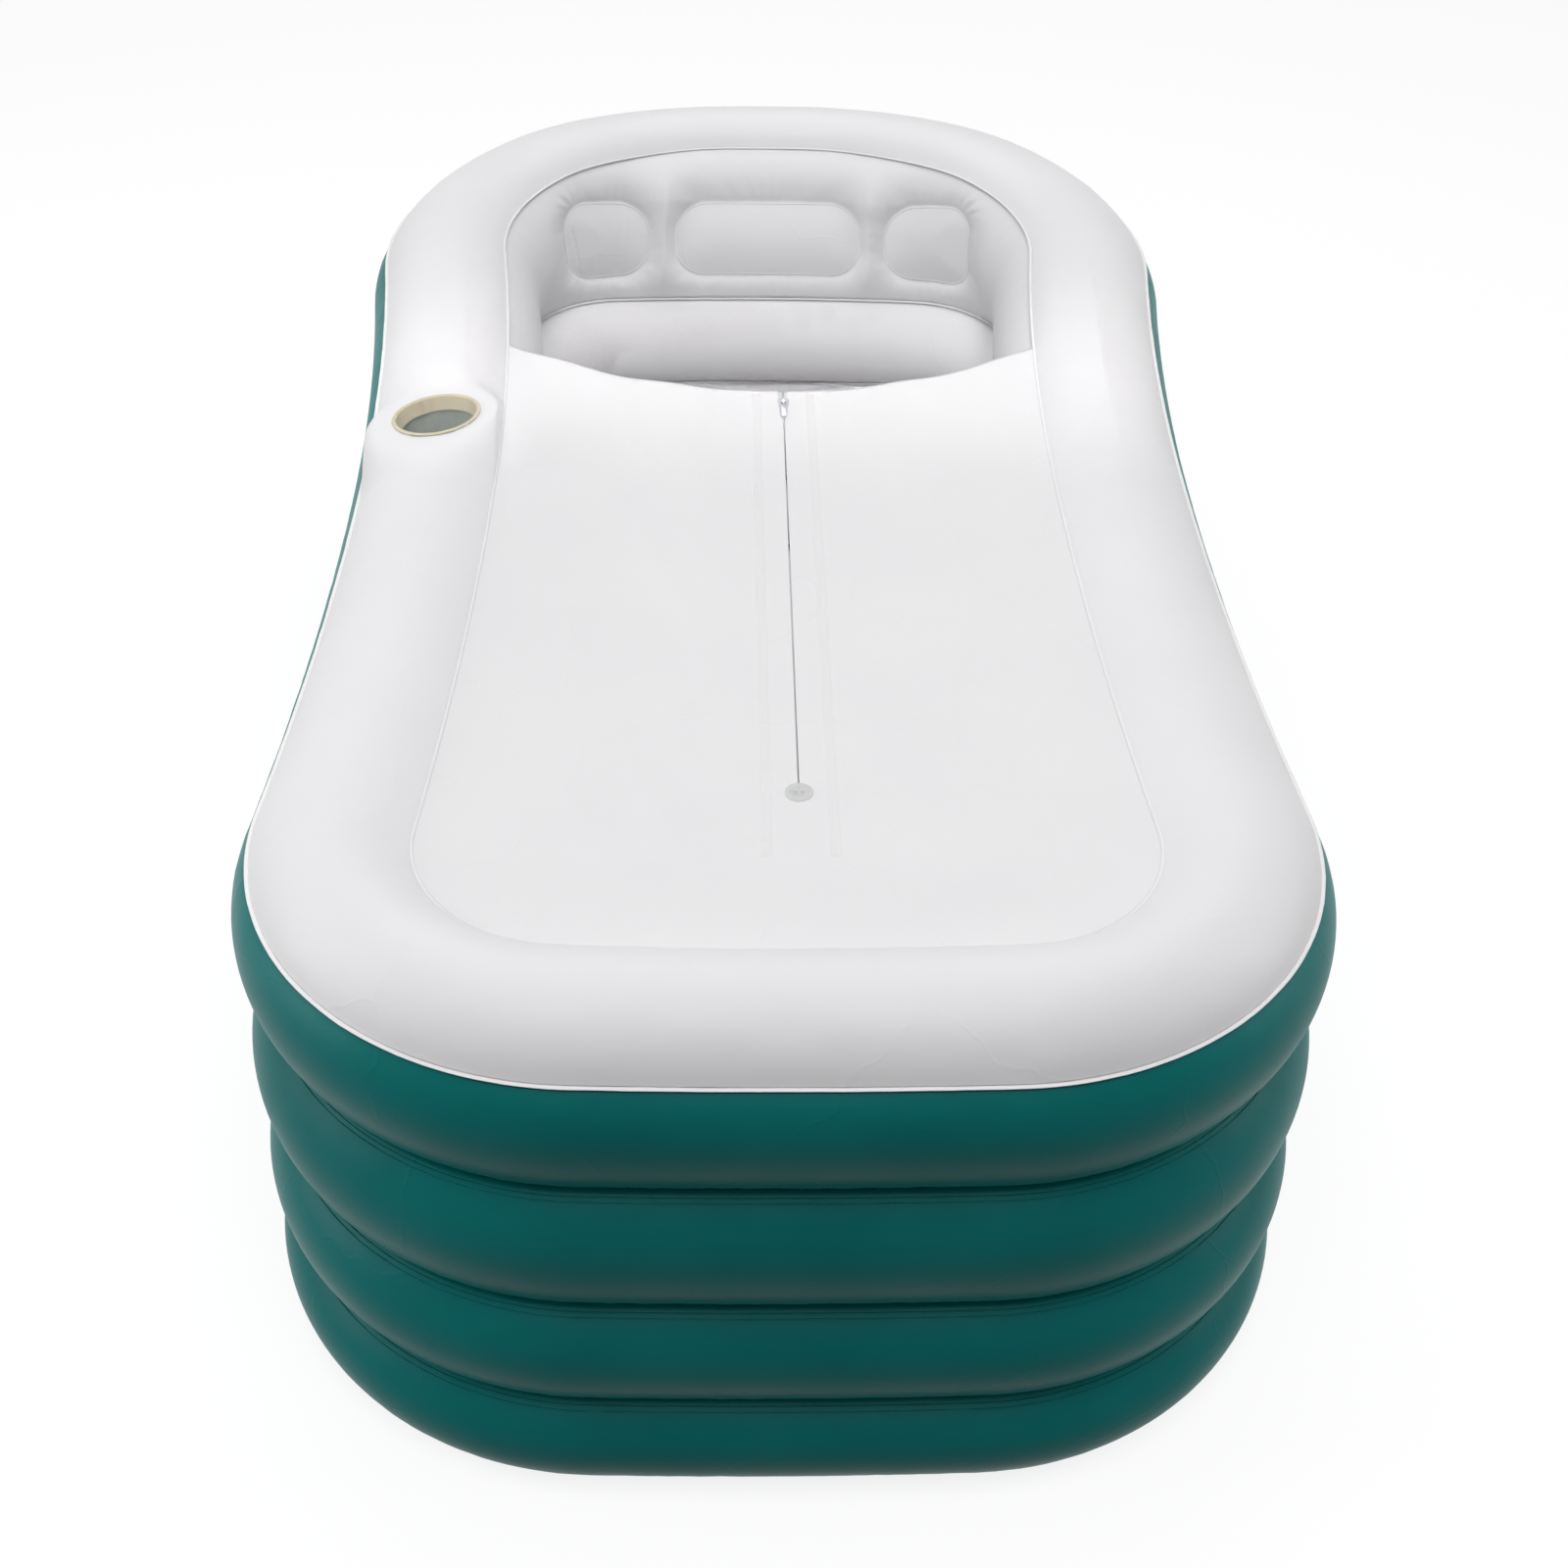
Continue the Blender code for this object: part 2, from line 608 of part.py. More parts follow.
def strap_back(x):
    """Where a strap meets the inside of the top outer ring, on the chord between two stations."""
    for share, next_share in zip(STATION_SHARES, STATION_SHARES[1:]):
        near, far = TUB.at((1, 0, share)), TUB.at((1, 0, next_share))
        if near.x <= abs(x) <= far.x:
            return near.y + (far.y - near.y) * (abs(x) - near.x) / (far.x - near.x) - STRAP_END_GAP


def build_floor():
    """The floor's top skin, welded down round its edge and along its channels."""
    stations = stations_round(FLOOR_STATION_SHARES, FLOOR_STATION_SHARES)
    spine_head = OPENING_HEAD - WALL_BATTER_HEAD - FLOOR_SPINE_SETBACK
    spine_foot = OPENING_FOOT - WALL_BATTER_FOOT - FLOOR_SPINE_SETBACK
    rows = []
    for station in stations:
        edge = WALL.at(station, FLOOR_MARGIN)
        spine = Vector((0, max(-spine_foot, min(spine_head, edge.y))))
        row = []
        for share in FLOOR_COLUMN_SHARES:
            hump = math.sqrt(abs(math.sin(2 * math.pi * share)))
            if share > 1 / 4:
                hump = FLOOR_CHANNEL_SHARE + (1 - FLOOR_CHANNEL_SHARE) * hump
            row.append((*edge.lerp(spine, share), SHEET / 2 + LAYER + FLOOR_HEIGHT * hump))
        rows.append(row)
    thicken(add_object("floor_top_skin", sheet_grid(rows, True), WHITE_PVC))


def cover_sag(along):
    """How far the cover's middle hangs below its edges: level along the zip, none at the foot."""
    share = (along + OPENING_FOOT) / (COVER_LEVEL_FROM + OPENING_FOOT)
    return COVER_SAG * smooth_step(share)


def cover_row(middle, edge):
    """Points from the middle line to the lip under the rim, hanging in an arc from the seam."""
    row = []
    sag = cover_sag(middle.y)
    reach = (edge - middle).length
    past_seam = reach / (reach - WELD_LIP)
    for share in COVER_COLUMN_SHARES:
        x = middle.x + (edge.x - middle.x) * share
        y = middle.y + (edge.y - middle.y) * share * share
        row.append((x, y, COVER_LEVEL - sag * (1 - (share * past_seam) ** 2)))
    return row


def build_cover():
    """One sheet with a slot for the zip: both halves meet beyond the slot's foot end."""
    stretch = (COVER_EDGE_ALONG + OPENING_FOOT) / (COVER_CORNER_ALONG + OPENING_FOOT)
    zip_span = COVER_EDGE_ALONG - ZIP_END_ALONG
    places = [COVER_EDGE_ALONG - zip_span * step / COVER_ZIP_ROWS for step in range(COVER_ZIP_ROWS + 1)]
    places.insert(1, SLIDER_ALONG)
    places.append(COVER_LEVEL_FROM)
    edges = [(place, COVER_CORNER_ALONG + (place - COVER_EDGE_ALONG) / stretch) for place in places]
    bm = bmesh.new()
    for side in (-1, 1):
        rows = []
        for place, edge_along in edges:
            half_slot = ZIP_SLOT_HALF_WIDTH
            if place == COVER_EDGE_ALONG:
                half_slot = ZIP_MOUTH_HALF_WIDTH
            if place <= ZIP_END_ALONG + MERGE_DISTANCE:
                half_slot = 0
            middle = Vector((ZIP_ACROSS + side * half_slot, place))
            rows.append(cover_row(middle, SEAM.at(SEAM.station_at(side, edge_along), -WELD_LIP)))
        last_along = edges[-1][1]
        for share in reversed(STATION_SHARES[2:]):
            station = (side, 1, share)
            edge = SEAM.at(station, -WELD_LIP)
            if edge.y < last_along - WELD_STRIP_WIDTH:
                place = COVER_EDGE_ALONG + (edge.y - COVER_CORNER_ALONG) * stretch
                rows.append(cover_row(Vector((ZIP_ACROSS, place)), edge))
        start = STATION_SHARES[2]
        last = []
        for share in COVER_COLUMN_SHARES:
            foot = SEAM.at((side, 1, start * share), -WELD_LIP)
            foot.x += ZIP_ACROSS * (1 - share)
            last.append((*foot, COVER_LEVEL))
        rows.append(last)
        half = sheet_grid(rows)
        mesh = bpy.data.meshes.new("cover half")
        half.to_mesh(mesh)
        half.free()
        faces_before = len(bm.faces)
        bm.from_mesh(mesh)
        bpy.data.meshes.remove(mesh)
        if side < 0:
            bm.faces.ensure_lookup_table()
            bmesh.ops.reverse_faces(bm, faces=bm.faces[faces_before:])
    bmesh.ops.remove_doubles(bm, verts=bm.verts, dist=MERGE_DISTANCE)
    thicken(add_object("cover_sheet", bm, WHITE_PVC))


COVER_TOP = COVER_LEVEL - COVER_SAG + SHEET / 2
TAPE_TOP = COVER_LEVEL - COVER_SAG - SHEET / 2 - GAP
COIL_TOP = TAPE_TOP - ZIP_TAPE_THICKNESS - GAP
COIL_BOTTOM = COIL_TOP - COIL_THICKNESS


def build_zip():
    """Tapes under the cover, coils under their edges, and the patch where the zip ends."""
    start = COVER_EDGE_ALONG - ZIP_SLOT_HALF_WIDTH
    for side, name in ((-1, "left"), (1, "right")):
        near = ZIP_ACROSS + side * COIL_INNER_HALF_GAP
        tape = bmesh.new()
        low, high = sorted((near, ZIP_ACROSS + side * ZIP_TAPE_WIDTH))
        block(tape, (low, ZIP_END_ALONG, TAPE_TOP - ZIP_TAPE_THICKNESS), (high, start, TAPE_TOP))
        add_object(f"zip_tape_{name}", tape, TAPE_CLOTH)
        coil = bmesh.new()
        low, high = sorted((near, near + side * COIL_WIDTH))
        block(coil, (low, ZIP_END_ALONG, COIL_BOTTOM), (high, start, COIL_TOP))
        add_object(f"zip_coil_{name}", coil, COIL_NYLON)
        middle = ZIP_ACROSS + side * WELD_STRIP_OFFSET
        strip = bmesh.new()
        bottom = COVER_TOP + cover_rise(WELD_STRIP_OFFSET + WELD_STRIP_WIDTH / 2) + GAP
        block(
            strip,
            (middle - WELD_STRIP_WIDTH / 2, WELD_STRIP_END_ALONG, bottom),
            (middle + WELD_STRIP_WIDTH / 2, COVER_EDGE_ALONG - WELD_STRIP_WIDTH, bottom + WELD_STRIP_THICKNESS),
        )
        add_object(f"zip_weld_strip_{name}", strip, CLEAR_PVC)
    floor = COVER_TOP + cover_rise(END_PATCH_RADIUS) + GAP
    patch_top = floor + END_PATCH_THICKNESS
    profile = [
        (0, floor), (END_PATCH_RADIUS, floor), (END_PATCH_RADIUS, patch_top),
        (END_STUD_RADIUS, patch_top), (END_STUD_RADIUS - END_STUD_HEIGHT, patch_top + END_STUD_HEIGHT),
        (0, patch_top + END_STUD_HEIGHT),
    ]
    patch = add_object("zip_end_patch", turned(profile, ROUND_STEPS), CLEAR_PVC)
    patch.location = (ZIP_ACROSS, ZIP_END_ALONG, 0)


def cover_rise(across):
    """How far the cover has risen above the zip at a distance from it, taken from its first facet."""
    first = COVER_COLUMN_SHARES[1]
    narrow = OPENING_HALF_WIDTH - OPENING_WAIST_INSET - ZIP_ACROSS
    reach = first * narrow
    return COVER_SAG * first * first * abs(across) / reach


def build_slider():
    """Two plates joined by a post that runs in the slot, with a bail for the puller on top."""
    top_low = COVER_TOP + cover_rise(SLIDER_WIDTH / 2) + GAP
    top_high = top_low + SLIDER_PLATE
    bottom_high = COIL_BOTTOM - GAP
    bottom_low = bottom_high - SLIDER_PLATE
    half_length = SLIDER_LENGTH / 2
    half_width = SLIDER_WIDTH / 2
    plate = [
        (-half_width + SLIDER_TAPER, -half_length), (half_width - SLIDER_TAPER, -half_length),
        (half_width, half_length - SLIDER_TAPER), (half_width - SLIDER_TAPER, half_length),
        (-half_width + SLIDER_TAPER, half_length), (-half_width, half_length - SLIDER_TAPER),
    ]
    body = add_object("zip_slider", prism(plate, bottom_low, bottom_high), SLIDER_METAL)
    body.location = (ZIP_ACROSS, SLIDER_ALONG, 0)
    half_post = SLIDER_POST_WIDTH / 2
    parts = {"top": prism(plate, top_low, top_high)}
    post = bmesh.new()
    post_start = half_length - SLIDER_POST_LENGTH
    block(post, (-half_post, post_start, bottom_high - GAP), (half_post, half_length - GAP, top_low + GAP))
    parts["post"] = post
    flange_low = COIL_INNER_HALF_GAP + COIL_WIDTH + GAP
    for side in (-1, 1):
        flange = bmesh.new()
        edges = sorted((side * flange_low, side * (flange_low + SLIDER_FLANGE)))
        block(
            flange,
            (edges[0], -half_length + SLIDER_TAPER, bottom_high - GAP),
            (edges[1], half_length - SLIDER_TAPER, TAPE_TOP - ZIP_TAPE_THICKNESS - GAP),
        )
        parts[f"flange {side}"] = flange
    bail = prism(bail_profile(), -BAIL_WIDTH / 2, BAIL_WIDTH / 2)
    stand = Matrix.Translation((0, 0, top_high)) @ Matrix(((0, 0, 1, 0), (1, 0, 0, 0), (0, 1, 0, 0), (0, 0, 0, 1)))
    bmesh.ops.transform(bail, matrix=stand, verts=bail.verts)
    parts["bail"] = bail
    for name, part in parts.items():
        tool = add_object(f"slider {name}", part, None, body)
        combine(body, tool, "UNION")
    build_puller(top_high)


def bail_profile():
    """The bail seen from the side: a low bridge, solid at both feet, sunk a gap into the plate."""
    half = BAIL_LENGTH / 2
    wall = BAIL_THICKNESS
    shoulder = BAIL_HEIGHT - wall
    return [
        (-half, -GAP), (-half + wall, -GAP), (-half + wall, shoulder), (half - wall, shoulder),
        (half - wall, -GAP), (half, -GAP), (half, shoulder), (half - wall, BAIL_HEIGHT),
        (-half + wall, BAIL_HEIGHT), (-half, shoulder),
    ]


def build_puller(plate_top):
    """A flat tab whose bar passes under the bail; it lies towards the foot end."""
    bar = PULLER_BAR / 2
    half_width = PULLER_WIDTH / 2
    eye_end = BAIL_LENGTH / 2 + PULLER_CLEARANCE
    outline = [
        (-half_width, bar), (-half_width, -eye_end - PULLER_BAR),
        (-half_width + PULLER_TAPER, -PULLER_LENGTH + PULLER_TAPER),
        (-half_width + 2 * PULLER_TAPER, -PULLER_LENGTH),
        (half_width - 2 * PULLER_TAPER, -PULLER_LENGTH),
        (half_width - PULLER_TAPER, -PULLER_LENGTH + PULLER_TAPER),
        (half_width, -eye_end - PULLER_BAR), (half_width, bar),
    ]
    tab = add_object("zip_puller", prism(outline, -PULLER_THICKNESS / 2, PULLER_THICKNESS / 2), SLIDER_METAL)
    eye = bmesh.new()
    half_eye = half_width - PULLER_BAR
    block(eye, (-half_eye, -eye_end, -PULLER_THICKNESS), (half_eye, -bar, PULLER_THICKNESS))
    combine(tab, add_object("puller eye", eye, None, tab))
    tab.location = (ZIP_ACROSS, SLIDER_ALONG, plate_top + (BAIL_HEIGHT - BAIL_THICKNESS) / 2)


def build_cup_holder(rim):
    """A moulded collar dropped into the rim, with a film sleeve and a floor welded under it."""
    lean = Matrix.Rotation(-math.radians(CUP_LEAN_DEGREES), 4, "Y")
    frame = add_frame("cup frame", Matrix.Translation(CUP_CENTRE) @ lean)
    tube = CUP_RADIUS + COLLAR_WALL
    lip = tube + COLLAR_LIP
    seat = SHEET / 2 + GAP
    collar = [
        (CUP_RADIUS, -COLLAR_DEPTH), (tube, -COLLAR_DEPTH), (tube, seat), (lip, seat),
        (lip, seat + COLLAR_LIP_THICKNESS / 2), (lip - COLLAR_WALL, seat + COLLAR_LIP_THICKNESS),
        (CUP_RADIUS + COLLAR_WALL / 2, seat + COLLAR_LIP_THICKNESS), (CUP_RADIUS, seat + COLLAR_LIP_THICKNESS / 2),
    ]
    add_object("cup_holder_collar", turned(collar, CUP_STEPS), BEIGE_PLASTIC, frame)
    drill(rim, frame, tube + HOLE_CLEARANCE, -COLLAR_DEPTH, COLLAR_DEPTH, CUP_STEPS)
    sleeve_top = -COLLAR_DEPTH - GAP
    sleeve = [
        (tube - SHEET, -CUP_DEPTH), (tube, -CUP_DEPTH), (tube, sleeve_top), (tube - SHEET, sleeve_top),
    ]
    add_object("cup_holder_sleeve", turned(sleeve, CUP_STEPS), GREY_PVC, frame)
    floor = [(0, -CUP_DEPTH - GAP - CUP_FLOOR_THICKNESS), (tube, -CUP_DEPTH - GAP - CUP_FLOOR_THICKNESS),
             (tube, -CUP_DEPTH - GAP), (0, -CUP_DEPTH - GAP)]
    add_object("cup_holder_floor", turned(floor, CUP_STEPS), GREY_PVC, frame)


def stopper(name, frame, seat, head, stem, grip, serration=0):
    """A cap with a stem: head is (radius, thickness), stem is (radius, depth below the seat)."""
    profile = [
        (0, seat - stem[1]), (stem[0] - CAP_SERRATION, seat - stem[1]),
        (stem[0], seat - stem[1] + CAP_SERRATION), (stem[0], seat), (head[0], seat),
        (head[0], seat + head[1] - CAP_SERRATION), (head[0] - 2 * CAP_SERRATION, seat + head[1]),
        (0, seat + head[1]),
    ]
    cap = add_object(name, turned(profile, ROUND_STEPS, serration, head[0]), VALVE_PLASTIC, frame)
    bar = bmesh.new()
    length = head[0] - 2 * CAP_RIM
    block(bar, (-grip[0] / 2, -length, seat + head[1] - GAP), (grip[0] / 2, length, seat + head[1] + grip[1]))
    tool = add_object(name + " grip", bar, None, frame)
    combine(cap, tool, "UNION")


def build_valves(outer, pieces):
    """A valve for each chamber, one above the other on the hidden head corner."""
    station = len(STATIONS) - 1 - VALVE_STATION
    for number, ring in enumerate(VALVE_RINGS, 1):
        frame = add_frame(f"valve frame {number}", facet_frame(outer[ring], station, RING_STEPS))
        seat = SHEET / 2 + GAP
        flange = seat + VALVE_FLANGE_THICKNESS
        neck = flange + VALVE_NECK_HEIGHT
        collar = [
            (VALVE_BORE_RADIUS, -VALVE_NECK_DEPTH), (VALVE_NECK_RADIUS, -VALVE_NECK_DEPTH),
            (VALVE_NECK_RADIUS, seat), (VALVE_FLANGE_RADIUS, seat), (VALVE_FLANGE_RADIUS, flange),
            (VALVE_NECK_RADIUS, flange), (VALVE_NECK_RADIUS, neck), (VALVE_BORE_RADIUS, neck),
        ]
        add_object(f"valve_collar_{number}", turned(collar, ROUND_STEPS), VALVE_PLASTIC, frame)
        drill(pieces["outer", ring + 1], frame, VALVE_NECK_RADIUS + HOLE_CLEARANCE, -VALVE_NECK_DEPTH, flange)
        head = (VALVE_NECK_RADIUS + CAP_RIM, CAP_THICKNESS)
        stem = (VALVE_BORE_RADIUS - STEM_CLEARANCE, neck + VALVE_NECK_DEPTH - STEM_END_CLEARANCE)
        grip = (CAP_GRIP_WIDTH, CAP_GRIP_HEIGHT)
        stopper(f"valve_cap_{number}", frame, neck + GAP, head, stem, grip, CAP_SERRATION)


def build_drain(outer, inner, pieces):
    """A tube through the lowest ring, welded at both walls, with a cap on its outer end."""
    waist = len(STATION_SHARES) - 1
    middle = facet_frame(outer[0], waist, RING_STEPS).translation
    depth = facet_frame(inner[0], waist, INNER_RING_STEPS).translation.x - middle.x
    frame = add_frame("drain frame", Matrix.Translation(middle) @ Matrix.Rotation(math.pi / 2, 4, "Y"))
    seat = SHEET / 2 + DRAIN_SEAT_GAP
    inside = depth - seat
    outside = seat + DRAIN_FLANGE_THICKNESS + DRAIN_SPOUT
    fitting = [
        (DRAIN_BORE_RADIUS, inside - DRAIN_FLANGE_THICKNESS), (DRAIN_FLANGE_RADIUS, inside - DRAIN_FLANGE_THICKNESS),
        (DRAIN_FLANGE_RADIUS, inside), (DRAIN_TUBE_RADIUS, inside), (DRAIN_TUBE_RADIUS, outside),
        (DRAIN_BORE_RADIUS, outside),
    ]
    add_object("drain_fitting", turned(fitting, ROUND_STEPS), VALVE_PLASTIC, frame)
    flange = [
        (DRAIN_TUBE_RADIUS + GAP, seat), (DRAIN_FLANGE_RADIUS, seat),
        (DRAIN_FLANGE_RADIUS, seat + DRAIN_FLANGE_THICKNESS), (DRAIN_TUBE_RADIUS + GAP, seat + DRAIN_FLANGE_THICKNESS),
    ]
    add_object("drain_outer_flange", turned(flange, ROUND_STEPS), VALVE_PLASTIC, frame)
    hole = DRAIN_TUBE_RADIUS + HOLE_CLEARANCE
    drill(pieces["outer", 1], frame, hole, -DRAIN_FLANGE_RADIUS, outside)
    drill(pieces["inner", 1], frame, hole, inside - DRAIN_FLANGE_RADIUS, inside + DRAIN_FLANGE_RADIUS)
    head = (DRAIN_TUBE_RADIUS + CAP_RIM, DRAIN_CAP_THICKNESS)
    stem = (DRAIN_BORE_RADIUS - STEM_CLEARANCE, DRAIN_STEM)
    grip = (CAP_GRIP_WIDTH, CAP_GRIP_HEIGHT)
    stopper("drain_cap", frame, outside + GAP, head, stem, grip)


def main():
    clear_scene()
    outer = outer_ring_rows()
    inner = inner_ring_rows()
    pieces = build_walls(outer, inner)
    build_backrest_straps()
    build_floor()
    build_cover()
    build_zip()
    build_slider()
    build_cup_holder(pieces["rim"])
    build_valves(outer, pieces)
    build_drain(outer, inner, pieces)


main()
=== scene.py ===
"""An inflatable bathtub of welded film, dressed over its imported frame. Lengths are metres.

Across is x, along is y with the head end at +y, and up is z.
"""
import math

import bmesh
import bpy
from mathutils import Matrix, Vector, noise


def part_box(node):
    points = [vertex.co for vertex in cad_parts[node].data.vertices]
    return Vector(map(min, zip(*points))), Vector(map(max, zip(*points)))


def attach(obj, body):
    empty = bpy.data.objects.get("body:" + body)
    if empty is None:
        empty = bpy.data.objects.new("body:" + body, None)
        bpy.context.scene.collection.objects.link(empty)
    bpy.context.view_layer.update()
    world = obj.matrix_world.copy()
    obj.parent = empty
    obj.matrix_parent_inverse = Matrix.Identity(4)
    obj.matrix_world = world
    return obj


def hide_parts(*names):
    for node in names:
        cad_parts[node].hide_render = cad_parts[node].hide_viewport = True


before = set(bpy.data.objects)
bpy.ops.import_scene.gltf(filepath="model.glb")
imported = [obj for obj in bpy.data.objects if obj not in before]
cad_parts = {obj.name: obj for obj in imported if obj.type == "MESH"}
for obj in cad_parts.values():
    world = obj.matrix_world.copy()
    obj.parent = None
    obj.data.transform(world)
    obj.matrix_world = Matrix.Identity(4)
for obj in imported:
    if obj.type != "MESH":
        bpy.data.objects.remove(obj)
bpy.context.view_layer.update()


# Outer wall: one band of teal film stands as four fat rings, because three flat webs inside hold it
# in along their welds. Each ring is an arc between two welds, puckered a little beside them, and the
# welding bar leaves a fine double line under each crease. The valve flanges press their seats flat.
class Plan:
    """A waisted ring of tangent arcs about x = 0, whose head and foot may differ.

    A station is (side, half, share): half 0 is the head and 1 the foot, and the share runs from 0
    at the middle of the end to 1 at the waist. Each end gives its reach, its corner radius, its end
    radius and the shares between which its corner lies.
    """

    def __init__(self, half_width, waist_inset, head, foot):
        self.halves = [self.arcs(half_width, waist_inset, *end) for end in (head, foot)]

    def arcs(self, half_width, waist_inset, reach, corner_radius, end_radius, corner_shares):
        corner_x = half_width - corner_radius
        end_y = reach - end_radius
        corner_y = end_y + math.sqrt((end_radius - corner_radius) ** 2 - corner_x ** 2)
        across = corner_radius - waist_inset
        waist_radius = (across ** 2 + corner_y ** 2 - corner_radius ** 2) / (2 * waist_inset)
        end_angle = math.atan2(corner_x, corner_y - end_y)
        corner_angle = math.pi / 2 + math.atan2(corner_y, waist_radius + across)
        waist_x = half_width - waist_inset + waist_radius
        start, finish = corner_shares
        return [
            (Vector((0, end_y)), end_radius, 0, end_angle, 0, start),
            (Vector((corner_x, corner_y)), corner_radius, end_angle, corner_angle, start, finish),
            (Vector((waist_x, 0)), -waist_radius, corner_angle - math.pi, -math.pi / 2, finish, 1),
        ]

    def quarter(self, half, share):
        """Point and outward normal in the quarter at +x, both as if the end lay at +y."""
        for centre, radius, first, last, start, finish in self.halves[half]:
            if share <= finish:
                angle = first + (last - first) * (share - start) / (finish - start)
                outward = Vector((math.sin(angle), math.cos(angle)))
                return centre + outward * abs(radius), outward * (1 if radius > 0 else -1)

    def at(self, station, inset=0.0):
        point, normal = self.quarter(station[1], station[2])
        placed = point - normal * inset
        return Vector((station[0] * placed.x, placed.y * (1 if station[1] == 0 else -1)))

    def inward(self, station):
        _, normal = self.quarter(station[1], station[2])
        return Vector((-station[0] * normal.x, -normal.y * (1 if station[1] == 0 else -1)))

    def station_at(self, side, along):
        """The station on one side whose point lies at that place along the tub."""
        half = 0 if along >= 0 else 1
        share = halved(0.0, 1.0, 40, lambda share: self.quarter(half, share)[0].y > abs(along))
        return (side, half, share)


def stations_round(head_shares, foot_shares):
    """Stations clockwise from the head's middle."""
    ring = [(1, 0, share) for share in head_shares[:-1]]
    ring += [(1, 1, share) for share in reversed(foot_shares[1:])]
    ring += [(-1, 1, share) for share in foot_shares[:-1]]
    ring += [(-1, 0, share) for share in reversed(head_shares[1:])]
    return ring


def swell_at(share, swell, span):
    """Height over its chord of the arc that an inflated strip takes."""
    radius = (span ** 2 / 4 + swell ** 2) / (2 * swell)
    return math.sqrt(max(0, radius ** 2 - ((share - 0.5) * span) ** 2)) - (radius - swell)


def smooth(value):
    value = max(0.0, min(1.0, value))
    return value * value * (3 - 2 * value)


def halved(low, high, steps, too_low):
    """Halve a range that often towards the place where too_low turns false, and give the last middle."""
    for _ in range(steps):
        middle = (low + high) / 2
        if too_low(middle):
            low = middle
        else:
            high = middle
    return middle


def put(tree, kind, inputs=None, **settings):
    """Add a node, set it up, and feed its inputs from plain values or from other sockets."""
    node = tree.nodes.new(kind)
    for name, value in settings.items():
        setattr(node, name, value)
    for key, value in (inputs or {}).items():
        if isinstance(value, bpy.types.NodeSocket):
            tree.links.new(value, node.inputs[key])
        else:
            node.inputs[key].default_value = value
    return node


def calc(tree, operation, *values):
    return put(tree, "ShaderNodeMath", dict(enumerate(values)), operation=operation).outputs[0]


def new_tree(name, kind, inputs, outputs):
    """A node group whose sockets are named: each input is (socket type, first value)."""
    tree = bpy.data.node_groups.new(name, kind)
    for label, (socket_type, value) in inputs.items():
        socket = tree.interface.new_socket(label, in_out="INPUT", socket_type=socket_type)
        if value is not None:
            socket.default_value = value
    for label, socket_type in outputs.items():
        tree.interface.new_socket(label, in_out="OUTPUT", socket_type=socket_type)
    return tree


def grow(name, mesh, tree, values):
    """Run a node tree on a mesh with its inputs set, and keep what it makes as plain mesh."""
    item = bpy.data.objects.new(name, mesh)
    bpy.context.scene.collection.objects.link(item)
    growth = item.modifiers.new("growth", "NODES")
    growth.node_group = tree
    for socket in tree.interface.items_tree:
        if socket.item_type == "SOCKET" and socket.in_out == "INPUT" and socket.name in values:
            growth[socket.identifier] = values[socket.name]
    return settle(item)


def settle(item):
    """Turn an object's modifiers into plain mesh."""
    bpy.context.view_layer.update()
    view = bpy.context.evaluated_depsgraph_get()
    mesh = bpy.data.meshes.new_from_object(item.evaluated_get(view))
    item.modifiers.clear()
    item.data = mesh
    mesh.name = item.name
    return item


def add_piece(name, bm, material):
    """Make an object of a mesh in hand, smooth but for its sharp edges."""
    mesh = bpy.data.meshes.new(name)
    bm.to_mesh(mesh)
    bm.free()
    mesh.shade_smooth()
    mesh.set_sharp_from_angle(angle=math.radians(48))
    mesh.materials.append(material)
    item = bpy.data.objects.new(name, mesh)
    bpy.context.scene.collection.objects.link(item)
    return item


FILM_THICKNESS = 0.0006


def thicken(item, thickness=FILM_THICKNESS):
    """Give a sheet of film its thickness, half to each side."""
    solid = item.modifiers.new("film thickness", "SOLIDIFY")
    solid.thickness = thickness
    solid.offset = 0
    return settle(item)


def fit(item, slot, *nodes, body="tub"):
    """The piece stands for its CAD nodes, which it hides, and rides on a body; its slot is not used."""
    if nodes:
        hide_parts(*nodes)
    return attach(item, body)


def dress(name, material):
    """Give a CAD node that stays in sight its material."""
    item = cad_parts[name]
    item.data.materials.clear()
    item.data.materials.append(material)
    return item


def cut_holes(item, holes):
    """Cut round holes: each is a matrix whose z is the axis, a radius, and two heights."""
    tools = []
    for number, (matrix, radius, low, high) in enumerate(holes):
        bm = bmesh.new()
        middle = Matrix.Translation((0, 0, (low + high) / 2))
        bmesh.ops.create_cone(bm, cap_ends=True, segments=48, radius1=radius, radius2=radius,
                              depth=high - low, matrix=matrix @ middle)
        tool = add_piece(f"{item.name}_hole_{number}", bm, item.data.materials[0])
        cut = item.modifiers.new("hole", "BOOLEAN")
        cut.solver = "EXACT"
        cut.object = tool
        tools.append(tool)
    settle(item)
    for tool in tools:
        bpy.data.objects.remove(tool)
    return item


